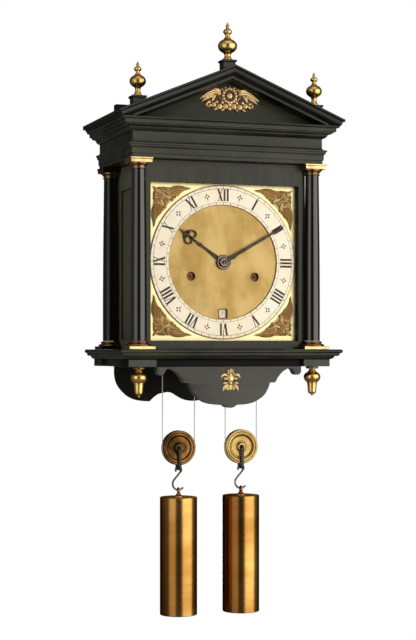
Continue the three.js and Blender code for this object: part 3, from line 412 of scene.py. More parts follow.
def clouded(scale, first, second, stretch=(1, 1, 1), detail=3.0, span=None):
    """The colour of a plain finish: clouds of two tones, parted more clearly where a span of the noise is
    given."""
    def colour(s):
        clouds = noise(s, scale, stretch, detail)
        return s.mix(clouds.between(*span) if span else clouds, first, second)
    return colour


EBONY_DARK = shade(15, 18, 10)
EBONY_LIGHT = shade(40, 45, 29)
EBONY_RUBBED = shade(66, 58, 46)
GRAIN = {"x": (14, 1, 1), "z": (1, 1, 14)}


def ebony(name, along, dark=EBONY_DARK, light=EBONY_LIGHT, patches=lambda s: ()):
    """French polished pearwood, dyed black: fine grain along one axis, hazy polish, and brown at rubbed
    edges. The patches are shares of the surface painted another tone, as painted light or shade."""
    def streaks(s):
        return noise(s, 90, GRAIN[along]).between(0.4, 0.62)

    def colour(s):
        grain = noise(s, 900, GRAIN[along])
        clouds = noise(s, 11, detail=2.0)
        stain = s.mix((grain * 0.3 + clouds * 0.6 + streaks(s) * 0.25).between(0.36, 0.8), dark, light)
        for share, tone in patches(s):
            stain = s.mix(share, stain, tone)
        rubbed = ridges(s).between(0.08, 0.45) * noise(s, 45).between(0.45, 0.68)
        return s.mix(rubbed * 0.25, stain, EBONY_RUBBED)

    def gloss(s):
        haze = noise(s, 28, GRAIN[along], 4.0) * 0.1 + noise(s, 7, detail=2.0) * 0.06
        return 0.17 + streaks(s) * 0.12 + haze

    def pores(s):
        return noise(s, 1500, GRAIN[along], 2.0) * 0.6 + noise(s, 60, GRAIN[along]) * 0.9

    return principled(name, colour, gloss, bump=pores, depth=0.00006,
                      Specular_IOR_Level=0.26, Coat_Weight=0.06, Coat_Roughness=0.1)


ebony_x = ebony("ebony_x", "x")
# Matt near-black: unpolished wood, and painted shade on the backboard's lobes and the fascia strips.
bare_and_shade_black = principled("bare_and_shade_black", clouded(40, shade(6, 6, 5), shade(17, 16, 13), GRAIN["z"]), 0.6,
                        bump=lambda s: noise(s, 700, GRAIN["z"]), depth=0.0001, Specular_IOR_Level=0.12)


def low_high(node):
    """A CAD node's lowest and highest corners in millimetres."""
    return [np.array(corner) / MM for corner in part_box(node)]


BACK_HIGH = low_high("backboard")[1]
BACK_HALF, BACK_TOP = BACK_HIGH[0], BACK_HIGH[2]
PLANK_FRONT = -14
LOBES = outline(  # down the right edge, round the lobe and in to the arch
    [(BACK_HALF, BACK_TOP), (BACK_HALF, -35)],
    [(BACK_HALF, -35), (114.6, -43.8), (110.8, -52.4), (104.8, -60), (96.8, -67), (87.6, -71.6), (77.1, -74),
     (66, -74.6)],
    [(66, -74.6), (62.3, -70.7), (54.3, -64.9), (46, -62.6), (38.4, -61.7), (29.3, -63.2), (20.2, -68.6),
     (11, -72.9), (3, -74.6)],
)
GUIDE_X, GUIDE_Y, GUIDE_Z = (97, 107.8), (-28, -13.5), (38, 330)
GROOVE_Y, GROOVE_DEPTH = (-23.4, -18.2), 4.4


def guide(side):
    """A grooved strip: its own section in X and Y, extruded upright."""
    (x0, x1), (y0, y1), (z0, z1) = GUIDE_X, GUIDE_Y, GUIDE_Z
    g0, g1 = GROOVE_Y
    section = [(x0, y0), (x1, y0), (x1, g0), (x1 - GROOVE_DEPTH, g0), (x1 - GROOVE_DEPTH, g1), (x1, g1),
               (x1, y1), (x0, y1)]
    path = [(side * x, y) for x, y in section][::side]
    return board(path, z0, z1, 0.25, "xy")


piece("backboard_plank", "case", bare_and_shade_black, board(mirrored(LOBES), PLANK_FRONT, 0, 0.8), guide(1), guide(-1),
      stands_for=["backboard"], slot="ebony")


# Shelf
# Pearwood like the rest: a board with an opening for the lines and the pendulum, edged on three sides with an
# ovolo and bead, a fascia with square corner blocks below it, and two upright cheeks for the movement.
SHELF_HALF, SHELF_FRONT, SHELF_UNDER = 145.1, -172.5, low_high("base_shelf")[0][2]
SHELF_TOP = -0.05
FASCIA_TOP = -13.7
RECESS_HALF, RECESS_DEPTH = 106.5, 8
SIDE_RECESS = (-135, -38)
EDGE_DEPTH = 28
WALL_EDGE = -0.5


def three_sides(half, front, back=WALL_EDGE):
    """The path of a moulding that runs from the wall down the left side, across the front and back on the
    right."""
    return [(-half, back), (-half, front), (half, front), (half, back)]


def shelf_edge():
    """The moulded edge above and the stepped fascia below, as one section and one outline."""
    top = outline([(-EDGE_DEPTH, -13.8), (-0.2, -13.8), (0, -13.3)],
                  [(0, -13.3), (2.3, -12.9), (4.2, -11.5), (5.1, -9.6)],
                  [(5.1, -9.6), (5.2, -9.2), (8.4, -9.2)],
                  [(8.4, -9.2), (9.9, -8.2), (10.5, -6.9), (10.6, -5.4)],
                  [(10.6, -5.4), (12.9, -4.8), (13.8, -3.4), (13.9, -2.2), (13.3, -0.9), (12.6, SHELF_TOP)],
                  [(12.6, SHELF_TOP), (-EDGE_DEPTH, SHELF_TOP)])
    half, front, step, inner = SHELF_HALF, SHELF_FRONT, 4, SHELF_HALF - EDGE_DEPTH
    back, deep = front + EDGE_DEPTH, front + RECESS_DEPTH
    near, far = SIDE_RECESS
    fascia = [(half, WALL_EDGE), (inner, WALL_EDGE), (inner, back), (-inner, back), (-inner, WALL_EDGE),
              (-half, WALL_EDGE), (-half, far), (step - half, far), (step - half, near), (-half, near),
              (-half, front), (-RECESS_HALF, front), (-RECESS_HALF, deep), (RECESS_HALF, deep),
              (RECESS_HALF, front), (half, front), (half, near), (half - step, near), (half - step, far),
              (half, far)]
    edge = carried(three_sides(half, front), top, "xy", closed=False)
    return edge, board(fascia, SHELF_UNDER, FASCIA_TOP + 0.1, 0.5, "xy")


def fascia_patches(s):
    """The faces of the corner blocks are painted paler: painted light, for the light that they catch."""
    below = s.place("Z") < (FASCIA_TOP - 0.05) * MM
    middle = s.place("X").absolute() < (RECESS_HALF + 0.05) * MM
    lit_block_face = below * (1 - middle) * (s.place("Y") < (SHELF_FRONT + 0.4) * MM)
    return [(lit_block_face, shade(46, 49, 45))]


# Painted shade: near-black strips over the recessed fascia and the shelf's sides, as dark as their shadow.
recess_face = SHELF_FRONT + RECESS_DEPTH
fascia_shade_strips = [beam(0.1 - RECESS_HALF, RECESS_HALF - 0.1, recess_face - 0.3, recess_face + 0.2,
                      SHELF_UNDER + 0.1, FASCIA_TOP, 0.05)]
fascia_shade_strips += [beam(*sorted((side * (SHELF_HALF - 0.3), side * (SHELF_HALF + 0.15))), SHELF_FRONT + 0.6,
                       SIDE_RECESS[0] - 0.6, SHELF_UNDER + 0.3, FASCIA_TOP, 0.05) for side in (-1, 1)]
piece("fascia_shade_strips", "case", bare_and_shade_black, *fascia_shade_strips, slot="ebony")
BOARD_Z, CHEEK_Y, CHEEK_Z = (-12, -0.3), (-130, -16), (-1, 27.7)
shelf_boards = [
    beam(-117.3, 117.3, -145, -118, *BOARD_Z), beam(-117.3, 117.3, -28, -14.3, *BOARD_Z),
    beam(-117.3, -80, -118.2, -27.8, *BOARD_Z), beam(80, 117.3, -118.2, -27.8, *BOARD_Z),
    beam(-94, -84, *CHEEK_Y, *CHEEK_Z), beam(84, 94, *CHEEK_Y, *CHEEK_Z),
]
shelf_black = ebony("shelf_black", "x", patches=fascia_patches)
piece("shelf_board", "case", shelf_black, *shelf_edge(), *shelf_boards, stands_for=["base_shelf"],
      slot="ebony")


# Apron
# A fretted board under the shelf's front, sawn from the same black wood. A small cast gilt mount is pinned to
# its middle, and a turned gilt drop hangs under each corner block of the shelf.
APRON_LOW, APRON_HIGH = low_high("apron")
APRON_TOP = SHELF_UNDER + 0.2
APRON_EDGE = outline(
    [(104.3, APRON_TOP), (104.3, -29.5)], arc((98.8, -29.5), 5.5, -12, -168, 9),
    [(93.4, -30.6), (91.8, -28.2), (89.8, -26.4), (87.4, -25.8), (83.9, -26.5)],
    [(83.9, -26.5), (76.4, -31.2), (70, -38.2), (67.6, -42.6), (65.8, -44.9), (62.4, -45.5), (58.3, -45.3)],
    [(58.3, -45.3), (55.1, -53.9), (48.7, -63.4), (35.9, -71.4), (24, -74.6), (9.3, -75.6)],
    [(9.3, -75.6), (6.2, -78), (3.4, -79.1), (0, -79.5)],
)
# Painted light: the apron gets a paler copy of the ebony, for the brighter light that falls on it.
apron_lit_black = ebony("apron_lit_black", "x", shade(44, 45, 41), shade(58, 59, 54))
piece("apron_board", "case", apron_lit_black, board(mirrored(APRON_EDGE), APRON_LOW[1], APRON_HIGH[1], 0.3),
      stands_for=["apron"], slot="ebony")

PATINA = (0.07, 0.035, 0.015, 1)


def gilding(name, dirt, rough, tones, metal=1.0, rim=(1, 1, 1, 1)):
    """Cast brass, fire gilt in clouds of two tones. It is bright on its ridges and brown in its hollows,
    where dirt is the share that old polish covers. The rim is the tint of what it mirrors at a glancing
    view."""
    def colour(s):
        hollow = 1 - (ridges(s) + noise(s, 260) * 0.1).between(-0.22, 0.1)
        tone = s.mix(noise(s, 55, detail=4.0).between(0.35, 0.75), *tones)
        return s.mix(hollow * dirt, tone, PATINA)

    def gloss(s):
        dull = 1 - ridges(s).between(-0.25, 0.08)
        return dull * 0.3 + noise(s, 90, detail=4.0) * 0.12 + rough

    def cast(s):
        return noise(s, 700, detail=4.0) * 0.8 + noise(s, 170) * 0.8

    return principled(name, colour, gloss, metal, cast, 0.00007, Specular_Tint=rim)


cast_gilt = gilding("cast_gilt", 0.92, 0.22, ((0.76, 0.57, 0.29, 1), (0.5, 0.32, 0.14, 1)), 0.75)
satin_gilt = gilding("satin_gilt", 0.5, 0.2, ((0.74, 0.5, 0.18, 1), (0.48, 0.29, 0.09, 1)),
                     rim=(0.12, 0.04, 0.005, 1))
# Dark brown behind the pierced mounts: old polish in their hollows, and painted shade between the leaves.
polish_and_shade_brown = principled("polish_and_shade_brown", clouded(200, shade(30, 18, 9), shade(58, 36, 18), detail=4.0), 0.5, 0.5,
                        lambda s: noise(s, 500), 0.00004)


def turned(profile, centre, sides=48, axis="z"):
    """A profile of (radius, height) points turned about an upright axis, or about one along Y."""
    profile = np.asarray(profile, float)
    angle = np.linspace(0, 2 * np.pi, sides, endpoint=False)
    radius, height = profile[:, :1], np.broadcast_to(profile[:, 1:], (len(profile), sides))
    flat = [radius * np.cos(angle), radius * np.sin(angle)]
    order = [*flat, height] if axis == "z" else [flat[0], height, flat[1]]
    return grid(np.stack(order, -1) + np.asarray(centre, float))


def curled(path, radius, turns=0.8, steps=26):
    """A path with a spiral to its right at its end, whose radius shrinks evenly with the angle."""
    path = np.asarray(path, float)
    last = path[-1] - path[-2]
    heading = math.atan2(last[1], last[0])
    t = np.linspace(0, 1, steps + 1)[1:, None]
    angle = heading + np.pi / 2 - 2 * np.pi * turns * t
    reach = radius * (1 - 0.72 * t)
    centre = path[-1] + radius * np.array([math.sin(heading), -math.cos(heading)])
    return np.vstack([path, centre + reach * np.hstack([np.cos(angle), np.sin(angle)])])


def leaf(points, width, height, fat, rib=0.25, curl=0.0, tip=0.12, across=8):
    """A cast leaf facing -Y along a smooth line, which may end in a curl. Its half width is the width times a
    hump that is fattest at the share fat of its length, its section a rounded hump with a groove down the
    middle, and its back lies flat in the plane Y = 0."""
    spine = curled(smooth(points), curl) if curl else smooth(points)
    run = np.append(0, np.cumsum(np.linalg.norm(np.diff(spine, axis=0), axis=1)))
    u = run / run[-1]
    hump = np.sin(np.pi * u ** (math.log(0.5) / math.log(fat))) ** 0.75
    hump = (tip + (1 - tip) * hump)[:, None]
    v = np.linspace(-1, 1, across + 1)[None, :]
    side = mitre(spine, False)[:, None, :]
    place = spine[:, None, :] + side * (v * width * hump)[..., None]
    dome = np.sqrt(np.maximum(1 - v ** 2, 0)) * (1 - rib * np.exp(-(v / 0.22) ** 2)) + 0.12
    rise = height * hump ** 0.6 * dome
    front = np.stack([place[..., 0], -rise, place[..., 1]], -1)
    back = front[:, ::-1].copy()
    back[..., 1] = 0
    return grid(np.concatenate([front, back], 1), ends=True)


def boss(x, z, radius, height, lobes=0, depth=0.0, sides=48):
    """A domed boss facing -Y, its back in the plane Y = 0 and its rim waved into lobes."""
    angle = np.linspace(0, 2 * np.pi, sides, endpoint=False)[None, :]
    u = np.linspace(0, 1, 9)[:, None]
    dip = depth * u * (0.5 - 0.5 * np.cos(lobes * angle))
    reach = radius * u * (1 - dip)
    rise = height * np.sqrt(np.maximum(1 - u ** 2.4, 0)) * (1 - 0.35 * dip)
    top = np.stack([x + reach * np.cos(angle), -rise, z + reach * np.sin(angle)], -1)
    under = top[-1:].copy()
    under[..., 1] = 0
    return grid(np.concatenate([top, under]), ends=True)


def both_sides(parts):
    """Parts on the right and their mirror images on the left."""
    return [*parts, *((p * [-1, 1, 1], faces) for p, faces in parts)]


def moved(parts, x, y, z):
    """Parts shifted by a step on each axis."""
    return [(p + [x, y, z], faces) for p, faces in parts]


def apron_mount():
    """A bud over two leaves that hook down, a bellied middle, a level leaf each side, and two spreading
    feet."""
    half = [
        leaf([(1.6, 1.6), (5.2, 5.4), (9.4, 6.6), (12.4, 4.6), (12.6, 0.8)], 2.2, 2.3, 0.6),
        leaf([(3, -0.8), (6, 0.9), (8.4, 1.5), (8.6, -1.6)], 1.7, 2.0, 0.5),
        leaf([(0.6, -5), (4.6, -4.5), (8.4, -4.7), (11.8, -5.7)], 1.9, 2.4, 0.7),
        leaf([(1.6, -7.6), (5.8, -8.2), (9.2, -11), (10.6, -16.2)], 2.6, 2.5, 0.5),
        leaf([(1.2, -9.6), (4.2, -11.2), (6.6, -14.8)], 1.7, 2.1, 0.5),
        leaf([(0.4, -13.6), (3.4, -13.2), (6.6, -14.2)], 1.4, 2.0, 0.5),
        leaf([(0.8, 7), (3.8, 8.6), (6.4, 7.4)], 1.6, 2.0, 0.5),
        leaf([(1, 8), (3.5, 11.2), (2.4, 15)], 1.6, 2.0, 0.5), boss(4.2, 3.4, 1.4, 2.3),
    ]
    spine = [
        leaf([(0, 7), (0, 11), (0, 16.6)], 2.2, 2.7, 0.45), boss(0, 1.4, 5.6, 3.2, 6, 0.12),
        boss(0, 5.8, 3.2, 2.5), boss(0, -4.9, 2.5, 3.0),
        leaf([(0, -6), (0, -10), (0, -15.6)], 2.8, 2.5, 0.4),
    ]
    return [*both_sides(half), *spine]


MOUNT_LOW, MOUNT_HIGH = low_high("apron_ornament")
MOUNT_Z = (MOUNT_LOW[2] + MOUNT_HIGH[2]) / 2
MOUNT_GROUND = [(0, 15), (4, 10), (9, 7.8), (12, 4.6), (9, 0), (10, -4), (9.4, -8), (10.6, -15), (0, -14.6)]
piece("apron_mount_ground", "case", polish_and_shade_brown,
      board(mirrored(MOUNT_GROUND) + [0, MOUNT_Z], MOUNT_HIGH[1] - 0.5, MOUNT_HIGH[1], 0.1), slot="gilt")
piece("apron_mount", "case", cast_gilt, *moved(apron_mount(), 0, MOUNT_HIGH[1] + 0.1, MOUNT_Z),
      stands_for=["apron_ornament"], slot="gilt", crease=50)

DROP_PROFILE = outline(
    [(0, -40.7), (1.3, -40.4), (1.7, -39.4), (1.5, -38.6)],
    [(1.5, -38.6), (4.2, -37.4), (5.6, -35), (6.1, -31)], [(6.1, -31), (6.5, -26), (6.9, -22.4)],
    [(6.9, -22.4), (7.6, -22), (7.6, -21.2)],
    [(7.6, -21.2), (9.8, -19.4), (11.4, -16), (11.6, -13.4), (10.4, -10.4), (7.8, -8.2), (5.2, -7)],
    [(5.2, -7), (6, -6.6), (6, -5.8), (5, -5.4)], [(5, -5.4), (4, -4.6), (4, -3.8), (5, -3)],
    [(5, -3), (8.2, -2.8)], [(8.2, -2.8), (8.7, -2), (8.3, -1)], [(8.3, -1), (8.4, 0), (0, 0)],
)
for drop_side in ("left", "right"):
    drop_low, drop_high = low_high("drop_finial_" + drop_side)
    drop_at = (*(drop_low + drop_high)[:2] / 2, drop_high[2])
    piece("drop_" + drop_side, "case", satin_gilt, turned(DROP_PROFILE, drop_at),
          stands_for=["drop_finial_" + drop_side], slot="gilt")


# Hood
# A box without a back or a floor, which lifts off the shelf: a front frame rebated for the dial's glass,
# sides with a glazed window, and a tongue inside each side that slides in the backboard's grooves.
HOOD_LOW, HOOD_HIGH = low_high("hood_body")
HOOD_HALF, HOOD_FRONT, HOOD_TOP = 114.8, HOOD_LOW[1], HOOD_HIGH[2]
HOOD_WALL, PANEL = 6.5, 5.1
WALL_INSIDE = HOOD_HALF - HOOD_WALL
DIAL_OPENING = (-107.6, 107.6, 11.9, 226.1)
SIDE_WINDOW = (-127, -32, 14, 223)


def frame_of(plane, *rings):
    """A frame whose surface runs through rings, each a rectangle (low, high, bottom, top) at a level, round
    and back to the first. The rings outside come first, then those of the opening."""
    corners = np.array([[(a, c), (b, c), (b, d), (a, d)] for a, b, c, d, _ in rings], float)
    level = np.broadcast_to(np.array([ring[4] for ring in rings])[:, None, None], (len(rings), 4, 1))
    order = {"xz": [0, 2, 1], "yz": [2, 0, 1]}[plane]
    return grid(np.concatenate([corners, level], -1)[..., order], rows_round=True)


def rings_of(outer, inner, low, high, rebate, lap, ease=0.6):
    """Rings of a frame between two levels: eased edges in front, and a rebate of the given lap behind."""
    def off(rect, d, level):
        return (rect[0] - d, rect[1] + d, rect[2] - d, rect[3] + d, level)

    sign = 1 if high > low else -1
    eased, rebated = low + sign * ease, low + sign * rebate
    return [off(outer, 0, high), off(outer, 0, eased), off(outer, -ease, low), off(inner, ease, low),
            off(inner, 0, eased), off(inner, 0, rebated), off(inner, lap, rebated), off(inner, lap, high)]


hood_front = frame_of("xz", *rings_of((-HOOD_HALF, HOOD_HALF, 0, HOOD_TOP), DIAL_OPENING, HOOD_FRONT,
                                      HOOD_FRONT + PANEL, 2, 1.3))
hood_sides = [frame_of("yz", *rings_of((HOOD_FRONT + PANEL - 0.4, -14.5, 0, HOOD_TOP), SIDE_WINDOW,
                                       side * HOOD_HALF, side * WALL_INSIDE, HOOD_WALL - 3.6, 2.5))
              for side in (-1, 1)]
tongues = [beam(*sorted((side * (WALL_INSIDE - 4.4), side * (WALL_INSIDE + 1))), -22.8, -18.8, 40, HOOD_TOP,
                0.3)
           for side in (-1, 1)]
strips = [beam(*sorted((side * (HOOD_HALF - 1), side * HOOD_HIGH[0])), -136.6, -129, 0, HOOD_TOP, 0.8)
          for side in (-1, 1)]


def side_patches(s):
    """The sides are painted paler than the front: painted light, for the light that falls on them."""
    out = s.place("X").absolute()
    return [((out > (HOOD_HALF - 0.1) * MM) * (out < (HOOD_HALF + 0.1) * MM), shade(82, 84, 68))]


hood_black = ebony("hood_black", "z", patches=side_patches)
piece("hood_frame", "hood", hood_black, hood_front, *hood_sides, *tongues, *strips, stands_for=["hood_body"],
      slot="ebony")


def pane_glass(name, dust_and_reflection):
    """Old thin glass: a little wavy, mirror-like towards a glancing view, and veiled with a share of a pale
    diffuse film: dust, and on the side panes also a painted reflection of grey light."""
    material = bpy.data.materials.new(name)
    shading = Shading(material)
    waves = noise(shading, 9, detail=1.5)
    normal = shading.node("ShaderNodeBump", None, {"Height": waves, "Distance": 0.0012, "Strength": 0.5})
    clear = shading.node("ShaderNodeBsdfTransparent", None, {"Color": (0.965, 0.975, 0.965, 1)})
    shine = shading.node("ShaderNodeBsdfPrincipled", None, {"Base Color": (0, 0, 0, 1), "Roughness": 0.03,
                                                            "Normal": normal})
    fresnel = shading.node("ShaderNodeFresnel", None, {"IOR": 1.45, "Normal": normal})
    film = shading.node("ShaderNodeBsdfDiffuse", None, {"Color": (0.42, 0.42, 0.34, 1)})
    veiled = shading.node("ShaderNodeMixShader", None, {0: dust_and_reflection, 1: clear, 2: film})
    surface = shading.node("ShaderNodeMixShader", None, {0: fresnel, 1: veiled, 2: shine})
    shading.node("ShaderNodeOutputMaterial", None, {"Surface": surface})
    return material


clear_glass, dust_and_sheen_glass = pane_glass("clear_glass", 0.0), pane_glass("dust_and_sheen_glass", 0.2)
PANES = {"front_glass": clear_glass, "side_glass_left": dust_and_sheen_glass, "side_glass_right": dust_and_sheen_glass}
for pane_name, glass in PANES.items():
    pane = beam(*np.stack(low_high(pane_name), -1).ravel(), 0.15)
    piece("pane_" + pane_name, "hood", glass, pane, stands_for=[pane_name], slot="glass")


# Entablature and pediment
# Two tiers of run mouldings mitred round the hood's top: architrave, frieze and cornice, and over them a
# gable whose raking cornice meets at the apex. Thin boards close the hood and roof it, and three pedestals
# stand on top.
FRIEZE_HALF, FRIEZE_FRONT = 137, -164.5
ENT_LOW, ENT_HIGH = low_high("entablature")
ENT_IN = 116.4 - FRIEZE_HALF
ENT_SECTION = outline(
    [(ENT_IN, ENT_LOW[2]), (0.5, ENT_LOW[2])], [(0.5, ENT_LOW[2]), (0.5, 261.6)],
    [(0.5, 261.6), (1.4, 261.9), (1.8, 263), (2, 269.6)],
    [(2, 269.6), (3, 269.9), (3.9, 271.4), (4.2, 273.2)], [(4.2, 273.2), (5.4, 273.8)],
    [(5.4, 273.8), (5.4, 275.9)], [(5.4, 275.9), (3.4, 276.2), (1, 277.2), (0, 279.5)],
    [(0, 279.5), (0, 291.6)], [(0, 291.6), (2.4, 292.4), (5, 294.6), (6.4, 297.4)],
    [(6.4, 297.4), (9.6, 297.8), (11.4, 299), (12, 300.4)], [(12, 300.4), (15, 300.8)],
    [(15, 300.8), (15.2, 305.6)], [(15.2, 305.6), (17.4, 305.9), (18.8, 306.9), (19.2, 308.1)],
    [(19.2, 308.1), (18.9, ENT_HIGH[2])], [(18.9, ENT_HIGH[2]), (ENT_IN, ENT_HIGH[2])],
)
piece("entablature_moulding", "hood", ebony_x,
      carried(three_sides(FRIEZE_HALF, FRIEZE_FRONT), ENT_SECTION, "xy", closed=False),
      beam(-117.4, 117.4, FRIEZE_FRONT + 20, -30, ENT_LOW[2], ENT_LOW[2] + 5), stands_for=["entablature"],
      slot="ebony")

SLOPE = 0.414
EAVES = FRIEZE_HALF + 24.7
EAVES_Z, GABLE_FOOT, ROOF_BOARD = 317, 309, 6
RAKE_SECTION = outline(
    [(-9, 303), (0, 305.3)], [(0, 305.3), (3, 304.6), (6.6, 304.4), (10.4, 305.2), (12.4, 304.6)],
    [(12.4, 304.6), (12.6, 303.8), (15, 303.6)], [(15, 303.6), (15.2, 306), (16.6, 307.4), (18.8, 308)],
    [(18.8, 308), (20.6, 309.4), (21.4, 311.4), (22, 313.4)],
    [(22, 313.4), (23.9, 313.8), (24.7, 314.8), (24.7, 316.2)], [(24.7, 316.2), (24.5, EAVES_Z)],
    [(24.5, EAVES_Z), (-9, 331)],
)


def raking_cornice(steps=36):
    """The section carried up the left side's wall edge, along the front and up to the apex. Each point rises
    by the slope times its own distance from the end of the eaves, and what is lower than the gable's foot is
    cut level."""
    share = np.linspace(0, 1, steps)
    out, level = RAKE_SECTION[:, 0], RAKE_SECTION[:, 1]
    half = FRIEZE_HALF + out
    left = np.concatenate([[-1.0], share - 1])
    rise = np.concatenate([[0.0], share])
    x = left[:, None] * half[None, :]
    y = np.broadcast_to(FRIEZE_FRONT - out, x.shape).copy()
    y[0] = WALL_EDGE
    z = level[None, :] + rise[:, None] * SLOPE * half[None, :]
    points = np.stack([x, y, z], -1)
    points = np.concatenate([points, points[-2::-1] * [-1, 1, 1]])
    points[..., 2] = np.maximum(points[..., 2], GABLE_FOOT)
    return grid(points, ends=True)


def gable(half, z):
    """The three corners of a gable, anticlockwise."""
    return [(-half, z), (half, z), (0, z + SLOPE * half)]


def roof_board(side):
    """One slope of the roof, a flat board under the cornice's top line."""
    top = np.array([(side * EAVES, EAVES_Z), (0, EAVES_Z + SLOPE * EAVES)])
    path = np.vstack([top, top[::-1] - [0, ROOF_BOARD]])
    return board(path, FRIEZE_FRONT + 1, -1.5, 0.2)


def gable_patches(s):
    """The flat tympanum keeps a paler ebony tone, while the rest of the gable is darkened as painted shade.
    """
    y = s.place("Y")
    return [((y > (FRIEZE_FRONT - 0.3) * MM) * (y < (FRIEZE_FRONT + 0.3) * MM), shade(36, 40, 27))]


# Painted shade: a darker copy of the ebony over the gable's raking cornice, roof and pedestals.
gable_shaded_black = ebony("gable_shaded_black", "x", shade(7, 8, 5), shade(19, 21, 14), gable_patches)
tympanum = board(gable(EAVES - 18, GABLE_FOOT), FRIEZE_FRONT, FRIEZE_FRONT + 10, 0.1)
PEDESTAL_X = {"finial_left": -128, "finial_right": 128, "finial_centre": 0}
PEDESTAL_Y, PEDESTAL_HALF = -157, 8.6


def pedestal(finial_name):
    """A square stand that rises out of the roof, with a thin cap under the finial's foot."""
    x, half = PEDESTAL_X[finial_name], PEDESTAL_HALF
    top = low_high(finial_name)[0][2] - 0.3
    foot = EAVES_Z + SLOPE * (EAVES - abs(x) - (half if x else 0)) - 3
    square = [(x - half, PEDESTAL_Y - half), (x + half, PEDESTAL_Y - half), (x + half, PEDESTAL_Y + half),
              (x - half, PEDESTAL_Y + half)]
    cap = outline([(-0.2, top - 3.8), (0.2, top - 3.4), (0.9, top - 2.7), (1.2, top - 2.4)],
                  [(1.2, top - 2.4), (1.6, top - 2.2)], [(1.6, top - 0.4), (1.3, top)])
    return [board(square, foot, top - 3, 0.4, "xy"), carried(square, cap, "xy")]


pedestals = [part for finial_name in PEDESTAL_X for part in pedestal(finial_name)]
piece("pediment_gable", "hood", gable_shaded_black, raking_cornice(), tympanum, roof_board(-1), roof_board(1),
      *pedestals, stands_for=["pediment"], slot="ebony")


def gable_mount():
    """A flower in a wreath, a leafy wing each side that ends in a long tip, and a row of flowers along the
    foot."""
    half = [
        leaf([(12, 5.6), (20, 9.2), (28, 7.8), (36, 3.2), (43, -1.4)], 3.3, 2.8, 0.35, 0.4),
        leaf([(12, 9), (17, 12), (22.6, 11.6), (27, 8.8)], 2.3, 2.6, 0.5),
        leaf([(22, 5.6), (29, 2.6), (35, -0.8), (40.6, -5)], 2.6, 2.5, 0.4, 0.4),
        leaf([(19, 5.6), (23.4, 1), (25.4, -4.6)], 2.3, 2.6, 0.5),
        leaf([(8.4, -4), (12.6, 0), (17, 5.6)], 0.8, 1.8, 0.5),
        leaf([(27, -3), (30.6, -5), (33.4, -8)], 1.5, 2.0, 0.4, curl=1.7),
        leaf([(3, 13.4), (6.4, 15.6), (9.6, 14.6)], 1.4, 2.2, 0.5),
        leaf([(8, 10.6), (11.4, 13.2), (14.4, 12)], 1.4, 2.2, 0.5),
        leaf([(7, -12), (10, -15), (12.4, -17)], 1.6, 2.2, 0.5),
        leaf([(17, -12), (20.6, -14.6), (24, -15.8)], 1.6, 2.1, 0.5),
        leaf([(24, -8), (28, -9.8), (31.4, -12.4)], 1.8, 2.2, 0.5),
        boss(6.2, -10, 4.5, 2.9, 6, 0.2), boss(14.6, -10.6, 4.7, 3.1, 6, 0.2),
        boss(23, -8.6, 4.2, 2.9, 6, 0.2),
        boss(6.2, -10, 1.7, 3.8), boss(14.6, -10.6, 1.8, 4.0), boss(23, -8.6, 1.6, 3.8),
        boss(10.4, -5, 2.2, 2.5), boss(18.8, -4.4, 2.3, 2.5), boss(29, -5.6, 1.9, 2.3),
    ]
    middle = [boss(0, 4.6, 4.9, 3.0, 6, 0.2), boss(0, 4.6, 1.9, 3.9), boss(0, -7.6, 3.0, 2.8),
              boss(0, -13, 2.7, 2.5), leaf([(0, 13), (0, 16), (0, 19)], 1.9, 2.6, 0.45)]
    wreath = [boss(9.3 * math.cos(turn), 4.6 + 9.3 * math.sin(turn), 2.5, 2.7, 5, 0.12, 20)
              for turn in np.linspace(0, 2 * np.pi, 15)[:-1]]
    return [*both_sides(half), *middle, *wreath]


GABLE_LOW, GABLE_HIGH = low_high("pediment_ornament")
GABLE_Z = (GABLE_LOW[2] + GABLE_HIGH[2]) / 2
GABLE_GROUND = [(0, 16), (8, 14), (16, 11.6), (24, 9), (34, 3), (40, -3), (30, -7), (26, -11), (14, -14.4),
                (0, -14)]
piece("pediment_mount_ground", "hood", polish_and_shade_brown,
      board(mirrored(GABLE_GROUND) + [0, GABLE_Z], GABLE_HIGH[1] - 0.5, GABLE_HIGH[1], 0.1), slot="gilt")
piece("pediment_mount", "hood", cast_gilt, *moved(gable_mount(), 0, GABLE_HIGH[1] + 0.1, GABLE_Z),
      stands_for=["pediment_ornament"], slot="gilt", crease=50)


# Columns
# Four turned pearwood shafts, swelling a little in the lower third, between cast and turned brass bases and
# capitals that are gilt. The front pair stands free of the hood's corners, the rear pair half into its sides.
COLUMN_X, COLUMN_FRONT, COLUMN_REAR = 126, -155, -18.5
BASE_SECTION = outline(
    [(16.2, 4), (16.9, 4.9), (17, 5.8), (16.3, 6.9), (15, 7.4)],
    [(15, 7.4), (13.5, 7.7), (12.9, 8.3), (13.1, 8.9)], [(13.1, 8.9), (13.9, 9.1), (14.1, 9.8), (13.7, 10.5)],
    [(13.7, 10.5), (12.4, 10.8), (11.9, 11.1), (11.8, 11.5)], [(11.8, 11.5), (0, 11.5)],
)
SHAFT_SECTION = outline(
    [(0, 11.8), (10.9, 11.8)],
    [(10.9, 11.8), (10.95, 50), (10.85, 92), (10.45, 150), (9.8, 205), (9.4, 241.3)],
    [(9.4, 241.3), (0, 241.3)],
)
CAPITAL_SECTION = outline(
    [(0, 241.6), (10, 241.6)], [(10, 241.6), (10.9, 241.9), (10.9, 242.8), (10, 243.2)],
    [(10, 243.2), (9.8, 244.2), (9.9, 245.1)], [(9.9, 245.1), (11, 245.4), (11.3, 245.9), (11, 246.4)],
    [(11, 246.4), (12.2, 246.9), (13.4, 247.9), (13.9, 249.5)], [(13.9, 249.5), (0, 250)],
)


def squared(x, y, section):
    """A square block whose edge section has (half width, height) points."""
    corners = [(x - 1, y - 1), (x + 1, y - 1), (x + 1, y + 1), (x - 1, y + 1)]
    return carried(corners, np.array(section) - [1, 0], "xy")


TURNED_PART = (4.4, 249.55)


